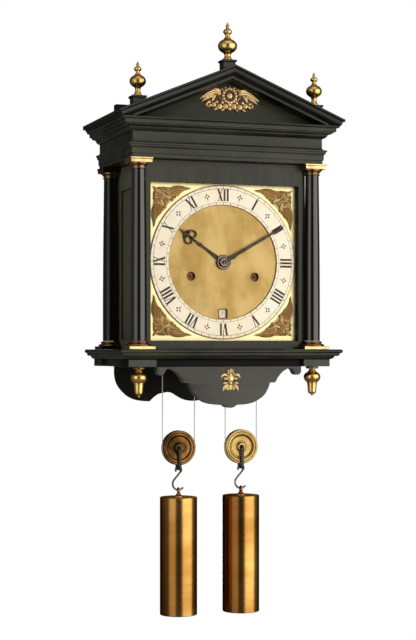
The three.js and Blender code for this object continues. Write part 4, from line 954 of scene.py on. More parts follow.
def tarnished(name, rings, flats):
    """Gilding of one tone on the turned rings and another on the square ends below and above
    them, clouded with brown tarnish."""
    def colour(s):
        z = s.place("Z")
        ring = (z > TURNED_PART[0] * MM) * (z < TURNED_PART[1] * MM)
        return s.mix(noise(s, 90, detail=4.0).between(0.4, 0.75) * 0.5, s.mix(ring, flats, rings), PATINA)

    def gloss(s):
        return 0.16 + noise(s, 90, detail=4.0) * 0.14

    return principled(name, colour, gloss, 1.0, lambda s: noise(s, 300), 0.00005)


FRONT_END = tarnished("column_gilt", (0.3, 0.16, 0.085, 1), (0.66, 0.48, 0.22, 1))
# Painted shade: the rear columns' ends get a much darker copy of the gilding, for the shadow they stand in.
SHADED_REAR_END = tarnished("column_gilt_rear_shaded", (0.22, 0.14, 0.055, 1), (0.08, 0.055, 0.025, 1))
shaft_stain = clouded(60, shade(5, 5, 4), shade(13, 13, 11), GRAIN["z"])
hazy_black = principled("hazy_black", shaft_stain, 0.2, Specular_IOR_Level=0.22, Coat_Weight=0.12,
                        Coat_Roughness=0.1)
polished_black = principled("polished_black", shaft_stain, lambda s: 0.12 + noise(s, 20, GRAIN["z"]) * 0.06,
                            Specular_IOR_Level=0.5, Coat_Weight=0.6, Coat_Roughness=0.08)
PLINTH = [(17.7, 0), (18.1, 0.4), (18.1, 3.9), (17.7, 4.3)]
ABACUS = [(14.3, 249.6), (14.7, 250), (14.7, 253.8), (15.3, 254.4), (15.6, 254.9), (15.6, 256.2),
          (15.3, 256.6)]
POSTS = {"front_left": (-COLUMN_X, COLUMN_FRONT), "front_right": (COLUMN_X, COLUMN_FRONT),
         "rear_left": (-COLUMN_X, COLUMN_REAR), "rear_right": (COLUMN_X, COLUMN_REAR)}
for post, (post_x, post_y) in POSTS.items():
    ends, shaft_black = (FRONT_END, polished_black) if post_y == COLUMN_FRONT else (SHADED_REAR_END, hazy_black)
    piece("column_foot_" + post, "hood", ends, turned(BASE_SECTION, (post_x, post_y, 0)),
          squared(post_x, post_y, PLINTH), stands_for=["column_base_" + post], slot="gilt")
    piece("column_" + post, "hood", shaft_black, turned(SHAFT_SECTION, (post_x, post_y, 0), 64),
          stands_for=["column_shaft_" + post], slot="ebony")
    piece("column_head_" + post, "hood", ends, turned(CAPITAL_SECTION, (post_x, post_y, 0)),
          squared(post_x, post_y, ABACUS), stands_for=["column_capital_" + post], slot="gilt")


# Finials
# Turned brass, gilt like the columns' ends: a foot, a flattened ball between small rings, and a knop drawn
# out to a point. Each screws down into its pedestal, and the middle one is the largest.
def finial(height, ball, ball_half, ball_z, knop):
    """Foot, waist, ball, ring, knop and tip, drawn for the middle finial. Radii are scaled as the ball's is,
    and heights as the room under the ball and over it."""
    s, low, high = ball / 13.2, (ball_z - ball_half) / 8.9, (height - ball_z - ball_half) / 22.8

    def under(radius, z):
        return radius * s, z * low

    def over(radius, z):
        return radius * s, ball_z + ball_half + (z - 29.3) * high

    round_ball = [(ball * math.cos(t), ball_z + ball_half * math.sin(t))
                  for t in np.radians(np.linspace(-61, 61, 9))]
    top_z = over(0, 38.6)[1]
    round_knop = [(knop * math.cos(t), top_z + 4.6 * high * math.sin(t))
                  for t in np.radians(np.linspace(-56, 64, 7))]
    return outline(
        [(0, 0), under(6.6, 0)], [under(6.6, 0), under(6.9, 0.9), under(6.4, 1.9)],
        [under(6.4, 1.9), under(5.6, 2.4)],
        [under(5.6, 2.4), under(4.9, 3.6), under(4.2, 5.4), under(4.4, 7.6), under(5.6, 9.2)], round_ball,
        [round_ball[-1], over(4, 29.4)], [over(4, 29.5), over(4.5, 29.8), over(4.6, 30.4), over(4, 31)],
        [over(4, 31), over(3, 32.4), over(3.3, 34.2)], round_knop,
        [round_knop[-1], over(2.5, 43), over(2, 44.2), over(2.6, 45.6)],
        [over(2.6, 45.6), over(2.3, 47.2), over(1.2, 49.8), (0, height)],
    )


SIDE_FINIAL, MIDDLE_FINIAL = finial(46.5, 11.1, 8.8, 19.5, 5.1), finial(52.1, 13.2, 10.2, 19.1, 6)
for finial_name, finial_x in PEDESTAL_X.items():
    finial_at = (finial_x, PEDESTAL_Y, low_high(finial_name)[0][2])
    piece("turned_" + finial_name, "hood", satin_gilt,
          turned(SIDE_FINIAL if finial_x else MIDDLE_FINIAL, finial_at), stands_for=[finial_name],
          slot="gilt")


# Dial plate
# A square of gilt brass pinned to the movement by four feet. Its border is polished, its centre is matted
# with a punch inside the chapter ring, and thin collars line the two winding holes and the calendar's
# aperture.
DIAL_LOW, DIAL_HIGH = low_high("dial_plate")
DIAL_FRONT = DIAL_LOW[1]
CENTRE_Z = (DIAL_LOW[2] + DIAL_HIGH[2]) / 2
RING_IN, RING_OUT = 78.5, 105.4
WINDING_X, ARBOR_Z = 46.5, 100
TRAINS = {"strike": -WINDING_X, "going": WINDING_X}


def beyond(s, start, end):
    """Rises from 0 to 1 between two distances from the dial's centre, across its face."""
    place = s.node("ShaderNodeTexCoord", output="Object")
    flat = s.node("ShaderNodeVectorMath", {"operation": "MULTIPLY"}, {0: place, 1: (1, 0, 1)})
    centre = (0, 0, CENTRE_Z * MM)
    away = s.node("ShaderNodeVectorMath", {"operation": "DISTANCE"}, {0: flat, 1: centre}, "Value")
    return away.between(start * MM, end * MM)


def matting(s):
    """1 over the punched centre of the dial, and 0 from just inside the chapter ring outwards."""
    return 1 - beyond(s, 78.2, 78.8)


def plate_colour(s):
    """Pale gilding, warmer and mottled in the matted centre, with worn brown strokes and a line of old polish
    round the chapter ring."""
    strokes = noise(s, 180, (1, 1, 9))
    clouds = noise(s, 26, detail=4.0)
    border = s.mix((clouds * 0.7 + strokes * 0.3).between(0.3, 0.72), shade(255, 242, 198),
                   shade(253, 230, 168))
    mottled = noise(s, 34, (1, 1, 1.6), 6.0) * 0.9 + strokes * 0.1
    centre = s.mix(mottled.between(0.36, 0.66), shade(246, 212, 146), shade(214, 174, 102))
    worn = noise(s, 70, (1, 1, 3), 5.0).between(0.6, 0.78)
    settled = beyond(s, 105.2, 105.5) * (1 - beyond(s, 106, 106.8))
    plate = s.mix(worn * 0.25, s.mix(matting(s), border, centre), shade(186, 138, 74))
    return s.mix(settled * 0.8, plate, shade(110, 76, 40))


def plate_gloss(s):
    """Polished on the border and duller over the matting."""
    return 0.34 + matting(s) * 0.16 + noise(s, 60, detail=4.0) * 0.08


def plate_bump(s):
    """The punch's small cells over the matting, and fine upright strokes everywhere."""
    place = s.node("ShaderNodeTexCoord", output="Object")
    punched = s.node("ShaderNodeTexVoronoi", None, {"Vector": place, "Scale": 1400.0}, "Distance")
    return matting(s) * punched * 0.3 + noise(s, 240, (1, 1, 8)) * 0.3


def paint_node(name, material):
    """Gives its material to a CAD node that stays in the picture as it is."""
    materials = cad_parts[name].data.materials
    materials.clear()
    materials.append(material)


paint_node("dial_plate", principled("dial_gilt", plate_colour, plate_gloss, 0.9, plate_bump, 0.00003))


def ring_section(inner, outer, front, back, ease=0.25):
    """The closed section of a flat ring with its front edges eased: (radius, level) points."""
    return [(inner, back), (inner, front + ease), (inner + ease, front), (outer - ease, front),
            (outer, front + ease), (outer, back), (inner, back)]


collar_brown = principled("collar_brown", clouded(300, shade(150, 104, 66), shade(96, 58, 36)), 0.4, 0.7)
COLLAR_SECTION = ring_section(5.5, 6.3, DIAL_FRONT - 0.5, DIAL_FRONT + 7)
collars = [turned(COLLAR_SECTION, (x, 0, ARBOR_Z), 40, "y") for x in TRAINS.values()]
APERTURE_Z = 49
APERTURE_SECTION = [(6.7, -0.05), (6.7, -0.3), (6.5, -0.45), (5.9, -0.45), (5.6, -0.2), (5.6, 2.4),
                    (5.95, 2.4), (5.95, -0.05)]
aperture_frame = frame_of("xz", *[(-half, half, APERTURE_Z - half, APERTURE_Z + half, DIAL_FRONT + level)
                                  for half, level in APERTURE_SECTION])
piece("dial_collars", "case", collar_brown, *collars, aperture_frame, slot="dial_brass")


# Chapter ring
# A flat ring of brass, silvered with a rubbed-on powder that has turned cream, and riveted to the plate. Its
# circles, ticks, numerals and half-hour marks are cut with a graver and filled with black wax.
RING_FRONT = DIAL_FRONT - 1.9
MARK_FRONT = RING_FRONT - 0.07


def silver_colour(s):
    """Two creams in clouds, with browner spots and browner towards both edges."""
    clouds = noise(s, 22, detail=5.0)
    stain = s.mix(clouds.between(0.3, 0.75), shade(255, 243, 230), shade(255, 236, 216))
    spots = noise(s, 150, detail=5.0).between(0.62, 0.76)
    edge = beyond(s, 103.5, RING_OUT) + 1 - beyond(s, RING_IN, 79.7)
    return s.mix(spots * 0.25 + edge * 0.3, stain, shade(198, 160, 140))


silvering = principled("silvering", silver_colour, lambda s: 0.4 + noise(s, 90) * 0.1, 0.82,
                       lambda s: noise(s, 420), 0.00003)
piece("chapter_plate", "case", silvering,
      turned(ring_section(RING_IN, RING_OUT, RING_FRONT, DIAL_FRONT - 0.05), (0, 0, CENTRE_Z), 180, "y"),
      stands_for=["chapter_ring"], slot="silvered")


def prisms(quads, front, back):
    """Flat quads of (x, z) corners, each drawn out from the front level to the back level into a closed
    block."""
    quads = np.asarray(quads, float)
    count = len(quads)
    level = np.broadcast_to(np.array([front, back])[None, :, None, None], (count, 2, 4, 1))
    flat = np.broadcast_to(quads[:, None], (count, 2, 4, 2))
    points = np.concatenate([flat[..., :1], level, flat[..., 1:]], -1).reshape(-1, 3)
    block = np.array([(0, 1, 2, 3), (7, 6, 5, 4), (0, 4, 5, 1), (1, 5, 6, 2), (2, 6, 7, 3), (3, 7, 4, 0)])
    return points, (block[None] + 8 * np.arange(count)[:, None, None]).reshape(-1, 4).tolist()


def on_ring(quads, hour, radius):
    """Turns quads drawn upright at the dial's top to an hour's place, their own height measured from a
    radius."""
    quads = np.asarray(quads, float)
    angle = math.radians(90 - 30 * hour)
    outward = np.array([math.cos(angle), math.sin(angle)])
    along = np.array([math.sin(angle), -math.cos(angle)])
    return quads[..., :1] * along + (quads[..., 1:] + radius) * outward + [0, CENTRE_Z]


def numeral(letters, height, stem, hair):
    """The strokes of a Roman numeral as quads, its foot at height 0: stems and hairlines that slope as each
    letter needs, with a short serif over every stroke's ends. Its letters stand side by side and it is
    centred."""
    thick = 0.55
    top = height - thick

    def stroke(foot, head, width):
        return [(foot - width / 2, 0), (foot + width / 2, 0), (head + width / 2, height),
                (head - width / 2, height)]

    def serif(x, level, reach):
        return [(x - reach, level), (x + reach, level), (x + reach, level + thick),
                (x - reach, level + thick)]

    quads, at = [], 0.0
    for letter in letters:
        wide = {"I": stem * 1.62, "V": height * 0.46, "X": height * 0.48}[letter]
        left, right, middle = at + stem * 0.45, at + wide - stem * 0.3, at + wide / 2
        if letter == "I":
            quads += [stroke(middle, middle, stem), serif(middle, 0, stem * 0.75),
                      serif(middle, top, stem * 0.75)]
        elif letter == "V":
            quads += [stroke(middle, left, stem), stroke(middle + stem * 0.2, right, hair),
                      serif(left, top, stem * 0.8), serif(right, top, stem * 0.6)]
        else:
            quads += [stroke(right - stem * 0.2, left, stem), stroke(left, right, hair),
                      serif(left, top, stem * 0.8), serif(right, top, stem * 0.6),
                      serif(left, 0, stem * 0.6), serif(right - stem * 0.2, 0, stem * 0.8)]
        at += wide + stem * 0.12
    return np.array(quads) - [at / 2, 0]


HOURS = ["XII", "I", "II", "III", "IIII", "V", "VI", "VII", "VIII", "IX", "X", "XI"]
numerals = np.concatenate([on_ring(numeral(text, 16.2, 2.7, 1.0), hour, 84.2)
                           for hour, text in enumerate(HOURS)])


def tick(inner, outer, width):
    """An upright stroke between two radii at the dial's top."""
    return [(-width / 2, inner), (width / 2, inner), (width / 2, outer), (-width / 2, outer)]


minute_ticks = np.concatenate([on_ring([tick(101, 105, 0.45 if m % 5 else 0.75)], m / 5, 0)
                               for m in range(60)])
quarter_ticks = np.concatenate([on_ring([tick(78.9, 82.4, 0.6)], q / 4, 0) for q in range(48)])
petal = np.array([(0, 0.8), (1.4, 2.5), (0, 4.2), (-1.4, 2.5)])
half_mark = [petal, petal[:, ::-1], petal * [1, -1], petal[:, ::-1] * [-1, 1], tick(-6.4, -4, 0.6)]
half_marks = np.concatenate([on_ring(half_mark, hour + 0.5, 92.2) for hour in range(12)])
circles = [turned(ring_section(r - w, r + w, MARK_FRONT, RING_FRONT + 0.1, 0.03), (0, 0, CENTRE_Z), 180, "y")
           for r, w in ((79, 0.18), (82.4, 0.2), (101, 0.22), (105, 0.18))]
black_wax = principled("black_wax",
                       clouded(240, shade(56, 48, 42), shade(92, 78, 68), detail=4.0, span=(0.35, 0.7)),
                       lambda s: 0.5 + noise(s, 300) * 0.2)
piece("chapter_marks", "case", black_wax,
      *[prisms(quads, MARK_FRONT, RING_FRONT + 0.1)
        for quads in (numerals, minute_ticks, quarter_ticks, half_marks)],
      *circles, slot="blued_steel")


# Spandrels
# Four gilt castings, each screwed to a corner of the plate over a thin ground: a rosette on the diagonal,
# between two wings of feathers, balls and curled leaves along the plate's edges. Their hollows have turned
# brown.
def wing():
    """The half above the diagonal, for the upper right corner, from the dial's centre: five long feathers
    that run out to a tip, a ball where they spring, a knot of ribbon, and the curls of a leafy crown towards
    the corner."""
    return [
        leaf([(79, 97), (71, 101.4), (61, 102), (52, 100.4), (45, 100.8)], 1.4, 2.4, 0.35, 0.2),
        leaf([(80, 94.4), (72, 98.2), (62, 99.4), (53, 98.4), (47, 99.4)], 1.3, 2.7, 0.35, 0.2),
        leaf([(79, 91.6), (71, 95.2), (63, 96.2), (56, 97)], 1.3, 2.9, 0.4, 0.2),
        leaf([(78, 89), (71.4, 92), (65, 93.2), (59.6, 95)], 1.25, 2.8, 0.4, 0.2),
        leaf([(75, 87), (69.6, 89), (65.4, 90.2), (62, 92.6)], 1.15, 2.6, 0.4, 0.2),
        boss(73.6, 84.6, 2.7, 3.4), boss(57.6, 101.8, 1.0, 2.8), boss(50.4, 100.6, 0.8, 2.5),
        boss(66.6, 99.8, 1.0, 3.2), boss(75.6, 99.6, 1.2, 3.3), boss(69.4, 86.8, 1.3, 2.8),
        leaf([(79.6, 89), (82, 94), (79.6, 100.4)], 1.5, 3.0, 0.5, 0.5),
        leaf([(82.6, 90), (85, 93.6), (83.6, 97.6)], 1.2, 3.2, 0.5, 0.5),
        leaf([(84, 96.4), (83.6, 98.6), (85.4, 100)], 1.1, 2.8, 0.4, curl=1.4),
        leaf([(88, 95), (89, 98.4), (92, 99.6)], 1.2, 3.0, 0.4, curl=1.5),
        leaf([(91, 93), (95, 96.4), (99.6, 98)], 1.4, 3.0, 0.5, 0.4), boss(83.6, 80, 1.7, 3.0),
        leaf([(76, 83.4), (80, 84.4), (84.6, 87)], 1.1, 2.6, 0.5),
        leaf([(94.6, 92), (97.6, 93.6), (100.6, 92.6)], 1.2, 2.7, 0.5),
    ]


def corner_casting():
    """The wing, its mirror image across the diagonal, and a rosette with a leaf outside it and one inside."""
    half = wing()
    other = [(points[:, [2, 1, 0]], faces) for points, faces in half]
    rosette = [boss(89.4, 89.4, 6.4, 2.4, 7, 0.25, 56), boss(89.4, 89.4, 3.8, 3.6, 7, 0.2),
               boss(89.4, 89.4, 1.5, 4.1),
               leaf([(93, 93), (97, 97), (101.4, 101.4)], 2.2, 2.6, 0.5),
               leaf([(86, 86), (83, 83), (80.4, 80.4)], 1.8, 2.2, 0.5)]
    return [*half, *other, *rosette]


GROUND_OUTSIDE = [(47, 100.2), (54, 101.4), (63, 102), (72, 101.6), (80, 101), (90, 101.2), (98, 100),
                  (100.4, 100.4)]
GROUND_INSIDE = [(78.6, 78.6), (73, 82.8), (67, 88.4), (61, 93.2), (55, 97)]
GROUND_EDGE = np.array([*GROUND_OUTSIDE, *((z, x) for x, z in GROUND_OUTSIDE[-2::-1]),
                        *((z, x) for x, z in GROUND_INSIDE[:0:-1]), *GROUND_INSIDE])
casting_ground = principled("casting_ground",
                            clouded(160, shade(214, 170, 106), shade(246, 214, 156), detail=4.0), 0.5, 0.5,
                            lambda s: noise(s, 500), 0.00004)
corner_gilt = gilding("corner_gilt", 0.97, 0.38, ((1.0, 0.76, 0.38, 1), (0.95, 0.6, 0.27, 1)), 0.65)
CORNERS = {"top_left": (-1, 1), "top_right": (1, 1), "bottom_left": (-1, -1), "bottom_right": (1, -1)}
for corner_name, (sx, sz) in CORNERS.items():
    casting = [(points * [sx, 1, sz] + [0, DIAL_FRONT - 0.3, CENTRE_Z], faces)
               for points, faces in corner_casting()]
    piece("casting_" + corner_name, "case", corner_gilt, *casting, stands_for=["spandrel_" + corner_name],
          slot="gilt", crease=50)
    ground = GROUND_EDGE * [sx, sz] + [0, CENTRE_Z]
    piece("ground_" + corner_name, "case", casting_ground,
          board(ground if sx * sz < 0 else ground[::-1], DIAL_FRONT - 0.45, DIAL_FRONT - 0.02, 0.05),
          slot="gilt")


# Calendar ring
# A silvered ring that turns behind the plate, with the days 1 to 31 cut into it. The number in the aperture
# stands upright, so every number has its head towards the centre.
CALENDAR_LOW, CALENDAR_HIGH = low_high("calendar_ring")
CALENDAR_FRONT = CALENDAR_LOW[1]


def figures(text, height, front, back):
    """A number in plain letters as a closed relief, its middle at the origin of the dial's plane."""
    words = bpy.data.curves.new("figures", "FONT")
    words.body, words.size, words.resolution_u, words.extrude = text, height, 3, (back - front) / 2
    words.align_x, words.align_y = "CENTER", "CENTER"
    holder = bpy.data.objects.new("figures", words)
    bpy.context.scene.collection.objects.link(holder)
    bpy.context.view_layer.update()
    shape = bpy.data.meshes.new_from_object(holder.evaluated_get(bpy.context.evaluated_depsgraph_get()))
    flat = np.empty(len(shape.vertices) * 3)
    shape.vertices.foreach_get("co", flat)
    flat = flat.reshape(-1, 3)
    faces = [list(face.vertices) for face in shape.polygons]
    bpy.data.objects.remove(holder)
    bpy.data.curves.remove(words)
    bpy.data.meshes.remove(shape)
    return np.stack([flat[:, 0], (front + back) / 2 - flat[:, 2], flat[:, 1]], -1), faces


DAYS, SHOWN_DAY = 31, 7


def day_number(day):
    """A day's number on the ring: moved down to the aperture, then turned on by the days since the shown
    one."""
    points, faces = figures(str(day), 7.4, CALENDAR_FRONT - 0.06, CALENDAR_FRONT + 0.1)
    angle = 2 * np.pi * (day - SHOWN_DAY) / DAYS
    x, z = points[:, 0], points[:, 2] - (CENTRE_Z - APERTURE_Z)
    return np.stack([x * np.cos(angle) - z * np.sin(angle), points[:, 1],
                     x * np.sin(angle) + z * np.cos(angle) + CENTRE_Z], -1), faces


piece("calendar_plate", "date_ring", silvering,
      turned(ring_section(63, 80, CALENDAR_FRONT, CALENDAR_HIGH[1], 0.15), (0, 0, CENTRE_Z), 124, "y"),
      stands_for=["calendar_ring"], slot="silvered")
piece("calendar_numbers", "date_ring", black_wax, *[day_number(day) for day in range(1, DAYS + 1)],
      slot="blued_steel")


# Hands
# Filed from steel and blued almost to black. The hour hand has a pierced pair of loops below its point and a
# broad turned hub, the minute hand a baluster near its hub and a long straight blade.
blued = principled("hand_steel",
                   clouded(160, shade(44, 40, 38), shade(82, 74, 68), detail=4.0, span=(0.3, 0.7)),
                   lambda s: 0.26 + noise(s, 240) * 0.16, 0.9, lambda s: noise(s, 600), 0.00003)
hub_steel = principled("hub_steel", clouded(200, shade(150, 132, 120), shade(84, 72, 66)), 0.22, 1.0)
MINUTE_FRONT, HOUR_FRONT = low_high("minute_hand")[0][1], low_high("hour_hand")[0][1]
MINUTE_ANGLE, HOUR_ANGLE = 60, 305


def pointed(part, angle):
    """A part drawn pointing up from the origin, turned clockwise on the dial and moved to its centre."""
    points, faces = part
    turn = math.radians(angle)
    x, z = points[:, 0], points[:, 2]
    return np.stack([x * math.cos(turn) + z * math.sin(turn), points[:, 1],
                     z * math.cos(turn) - x * math.sin(turn) + CENTRE_Z], -1), faces


def blade(stations, front, thickness):
    """A flat bar whose half widths are given at heights along it."""
    run = smooth(np.array(stations)[:, ::-1], 4)
    path = np.vstack([run, run[::-1] * [-1, 1]])
    return board(path, front, front + thickness, 0.28)


def loop(centre, radii, wire, front, thickness, tilt):
    """A flat pierced loop: an ellipse of two radii, turned by a tilt, with a section as wide as the wire."""
    angle = np.linspace(0, 2 * np.pi, 40, endpoint=False)
    x, z = radii[0] * np.cos(angle), radii[1] * np.sin(angle)
    lean = math.radians(tilt)
    path = np.stack([centre[0] + x * math.cos(lean) - z * math.sin(lean),
                     centre[1] + x * math.sin(lean) + z * math.cos(lean)], -1)
    w, t = wire / 2, thickness
    section = [(-w, front + 0.3), (-w + 0.3, front), (w - 0.3, front), (w, front + 0.3), (w, front + t),
               (-w, front + t), (-w, front + 0.3)]
    return carried(path, section, "xz", ends=False)


minute_blade = blade([(4, 2.2), (9, 2.4), (12, 2.6), (15, 3.2), (18, 2.9), (21, 2.0), (30, 1.9), (60, 1.7),
                      (88, 1.4), (99.4, 1.3), (100, 1.0)], MINUTE_FRONT, 1.4)
minute_hub = turned([(0, MINUTE_FRONT + 0.4), (0, MINUTE_FRONT - 0.85), (1.7, MINUTE_FRONT - 0.75),
                     (2.4, MINUTE_FRONT - 0.3), (2.5, MINUTE_FRONT), (3.2, MINUTE_FRONT - 0.15),
                     (3.6, MINUTE_FRONT + 0.3), (5, MINUTE_FRONT + 0.2), (5.8, MINUTE_FRONT + 0.1),
                     (6, MINUTE_FRONT + 0.5), (6, MINUTE_FRONT + 1.6), (3, MINUTE_FRONT + 1.6), (3, -124),
                     (2.1, -124), (2.1, MINUTE_FRONT + 0.4), (0, MINUTE_FRONT + 0.4)],
                    (0, 0, 0), 48, "y")
piece("minute_pointer", "centre_arbor", blued, pointed(minute_blade, MINUTE_ANGLE),
      stands_for=["minute_hand"], slot="blued_steel")
piece("minute_boss", "centre_arbor", hub_steel, pointed(minute_hub, MINUTE_ANGLE), slot="blued_steel")
hour_blade = blade([(9, 2.1), (14, 2.4), (22, 1.9), (34, 1.2), (38.4, 1.1), (40.6, 2.2), (42.6, 2.3),
                    (44.6, 1.1), (52, 1.0), (66, 1.2), (70, 1.5), (74, 0.9), (78, 0.25)], HOUR_FRONT, 1.2)
hour_loops = [loop((side * 5, 59), (4.7, 5.6), 2.0, HOUR_FRONT, 1.2, side * 18) for side in (-1, 1)]
hour_loops += [loop((side * 3.1, 65.6), (2.3, 2.6), 1.4, HOUR_FRONT, 1.2, side * 30) for side in (-1, 1)]
hour_hub = turned([(3.4, HOUR_FRONT + 1.2), (3.4, HOUR_FRONT + 0.1), (6.4, HOUR_FRONT + 0.1),
                   (7, HOUR_FRONT - 0.25), (7.8, HOUR_FRONT + 0.1), (8.8, HOUR_FRONT),
                   (9.6, HOUR_FRONT - 0.2), (10.2, HOUR_FRONT + 0.2), (10.3, HOUR_FRONT + 1.2),
                   (4.4, HOUR_FRONT + 1.2), (4.4, -123.1), (18, -123.1), (18, -121.5), (3.4, -121.5),
                   (3.4, HOUR_FRONT + 1.2)], (0, 0, 0), 56, "y")
piece("hour_pointer", "hour_pipe", blued, *[pointed(part, HOUR_ANGLE) for part in (hour_blade, *hour_loops)],
      stands_for=["hour_hand"], slot="blued_steel")
piece("hour_boss", "hour_pipe", hub_steel, pointed(hour_hub, HOUR_ANGLE), slot="blued_steel")


# Movement
# Brass plates held apart by four pillars on an oak seatboard. Behind them turn the barrels, wheels and the
# verge's crown wheel, and the pendulum hangs behind the back plate. The bell stands over it all.
def brass(name, first, second, rough, grain=(1, 1, 1), depth=0.00003):
    """Rolled or turned brass: a warm tone under thin brown tarnish, with fine scratches along the grain."""
    def colour(s):
        tone = s.mix(noise(s, 30, detail=4.0).between(0.3, 0.7), first, second)
        return s.mix(noise(s, 110, grain, 5.0).between(0.55, 0.75) * 0.4, tone, shade(110, 68, 32))

    return principled(name, colour, lambda s: rough + noise(s, 130, grain, 4.0) * 0.14, 1.0,
                      lambda s: noise(s, 900, grain, 3.0), depth)


movement_brass = brass("movement_brass", shade(214, 172, 96), shade(188, 140, 70), 0.28, (1, 1, 10))
bell_bronze = brass("bell_bronze", shade(206, 182, 130), shade(176, 146, 96), 0.22)
bright_steel = principled(
    "bright_steel", clouded(120, shade(124, 120, 114), shade(70, 66, 60), detail=4.0, span=(0.35, 0.7)),
    lambda s: 0.24 + noise(s, 200) * 0.14, 1.0, lambda s: noise(s, 700), 0.00003)
dark_steel = principled("dark_steel", clouded(120, shade(70, 64, 58), shade(30, 27, 24)), 0.3, 1.0)
OAK_GRAIN = (16, 1, 1)


def oak_colour(s):
    """Brown oak: fine grain over the broader bands of its yearly rings."""
    grain = noise(s, 260, OAK_GRAIN, 4.0)
    rings = noise(s, 40, (12, 1, 1))
    return s.mix((grain * 0.6 + rings * 0.5).between(0.35, 0.75), shade(104, 74, 44), shade(66, 44, 26))


seat_oak = principled("seat_oak", oak_colour, lambda s: 0.55 + noise(s, 80) * 0.15, 0.0,
                      lambda s: noise(s, 420, OAK_GRAIN), 0.0002)
FINISHES = {
    "seatboard": seat_oak, "front_plate": movement_brass, "back_plate": movement_brass,
    "centre_wheel": movement_brass, "going_great_wheel": movement_brass, "contrate_wheel": movement_brass,
    "crown_wheel": movement_brass, "pendulum_rod": bright_steel,
}
for node_name, finish in FINISHES.items():
    paint_node(node_name, finish)

gut_colour = principled("gut", clouded(300, shade(216, 208, 200), shade(168, 160, 154), detail=4.0), 0.5,
                        bump=lambda s: noise(s, 900), depth=0.0001)
LINE_TURNS, WHEEL_TEETH = 20, 48
turn_share = np.linspace(0, 1, LINE_TURNS * 8 + 1)
WOUND = np.stack([23.3 + 0.7 * abs(np.sin(np.pi * LINE_TURNS * turn_share)), -98.2 + 30.4 * turn_share], -1)
WINDING_SECTION = np.vstack([WOUND, [(22.5, WOUND[-1, 1])], [(22.5, WOUND[0, 1])], WOUND[:1]])
DRUM_SECTION = [(0, -100), (23.4, -100), (24, -99.6), (24, -98.8), (23.4, -98.4), (22.6, -98.4),
                (22.6, -67.6), (23.4, -67.6), (24, -67.2), (24, -66.4), (23.4, -66), (0, -66)]
ARBOR_SECTION = [(0, -120.5), (3, -120.5), (3.2, -120.2), (3.2, -100.2), (0, -100.2)]
CAP_SECTION = [(0, -135), (5.4, -135), (5.4, -134.2), (0, -134.2)]
for train, drum_x in TRAINS.items():
    drum_body, drum_at = train + "_drum", (drum_x, 0, ARBOR_Z)
    barrel_low, barrel_high = low_high(train + "_barrel")
    pivot_section = [(0, -66), (3.2, -65.8), (3.2, -62), (1.2, -61.6), (1.2, barrel_high[1]),
                     (0, barrel_high[1])]
    square = beam(drum_x - 2, drum_x + 2, barrel_low[1], -119, ARBOR_Z - 2, ARBOR_Z + 2, 0.3)
    parts = [turned(DRUM_SECTION, drum_at, 72, "y"), turned(pivot_section, drum_at, 32, "y")]
    piece(train + "_square", drum_body, dark_steel, turned(ARBOR_SECTION, drum_at, 32, "y"), square,
          slot="steel")
    piece(train + "_dust_cap", drum_body, collar_brown, turned(CAP_SECTION, drum_at, 40, "y"),
          slot="movement_brass")
    if train == "strike":
        corner = np.arange(2 * WHEEL_TEETH)
        wheel_angle = np.pi * corner / WHEEL_TEETH
        reach = np.where(corner % 2 == 0, 28.0, 30.0)
        teeth = np.stack([drum_x + reach * np.cos(wheel_angle), ARBOR_Z + reach * np.sin(wheel_angle)], -1)
        parts.append(board(teeth, -110, -107.5, 0.15))
    piece(train + "_drum", drum_body, movement_brass, *parts, stands_for=[train + "_barrel"],
          slot="movement_brass")
    piece(train + "_winding", drum_body, gut_colour, turned(WINDING_SECTION, drum_at, 72, "y"), slot="gut")

BELL_Y = -85
BELL_SHAPE = outline(
    [(0, 242.7), (6, 242.5), (14, 241.4), (21, 238.8), (26, 233.6), (29.4, 226.4), (32, 219), (35, 212)],
    [(35, 212), (34.6, 211.8), (32.8, 212.4)],
    [(32.8, 212.4), (29.6, 219.4), (26.8, 226.6), (23.6, 232.4), (19, 237), (13, 239.2), (6, 240.3),
     (0, 240.5)],
)
piece("bell_cup", "case", bell_bronze, turned(BELL_SHAPE, (0, BELL_Y, 0), 72), stands_for=["bell"],
      slot="bell_metal")
HEAD_SECTION = [(0, -4.6), (4, -4.6), (4.6, -4.1), (4.6, 4.1), (4, 4.6), (0, 4.6)]
HAMMER_HEAD, HAMMER_PIVOT = (-41.5, 217), (-60, 185)


def rod(path, radius, level, sides=16):
    """A round wire bent to a path in a plane that faces -Y, its section a circle carried along the path."""
    turn = np.linspace(0, 2 * np.pi, sides, endpoint=False)
    return carried(path, np.stack([radius * np.cos(turn), level + radius * np.sin(turn)], -1), "xz",
                   closed=False)


hammer_head = turned(HEAD_SECTION, (HAMMER_HEAD[0], BELL_Y, HAMMER_HEAD[1]), 40, "y")
hammer_arm = rod(smooth([HAMMER_PIVOT, (-58, 197), (-45.5, 209), HAMMER_HEAD], 10), 1.3, BELL_Y)
hammer_low, hammer_high = low_high("bell_hammer")
hammer_arbor = turned([(0, hammer_low[1]), (1.2, hammer_low[1]), (1.2, hammer_high[1]), (0, hammer_high[1])],
                      (HAMMER_PIVOT[0], 0, HAMMER_PIVOT[1]), 24, "y")
piece("hammer_work", "hammer", bright_steel, hammer_head, hammer_arm, hammer_arbor,
      stands_for=["bell_hammer"], slot="steel")

BOB_SHAPE = outline(
    [(1.5, -14), (5, -14)],
    [(5, -14), (7.4, -11.4), (9.1, -7), (9.5, -3), (9, 1.4), (7.4, 5.4), (5, 9.4), (3.6, 12)],
    [(3.6, 12), (4.2, 12.6), (3.4, 14), (1.5, 14)], [(1.5, 14), (1.5, -14)],
)
piece("bob", "pendulum", movement_brass, turned(BOB_SHAPE, sum(low_high("pendulum_bob")) / 2, 56),
      stands_for=["pendulum_bob"], slot="movement_brass")


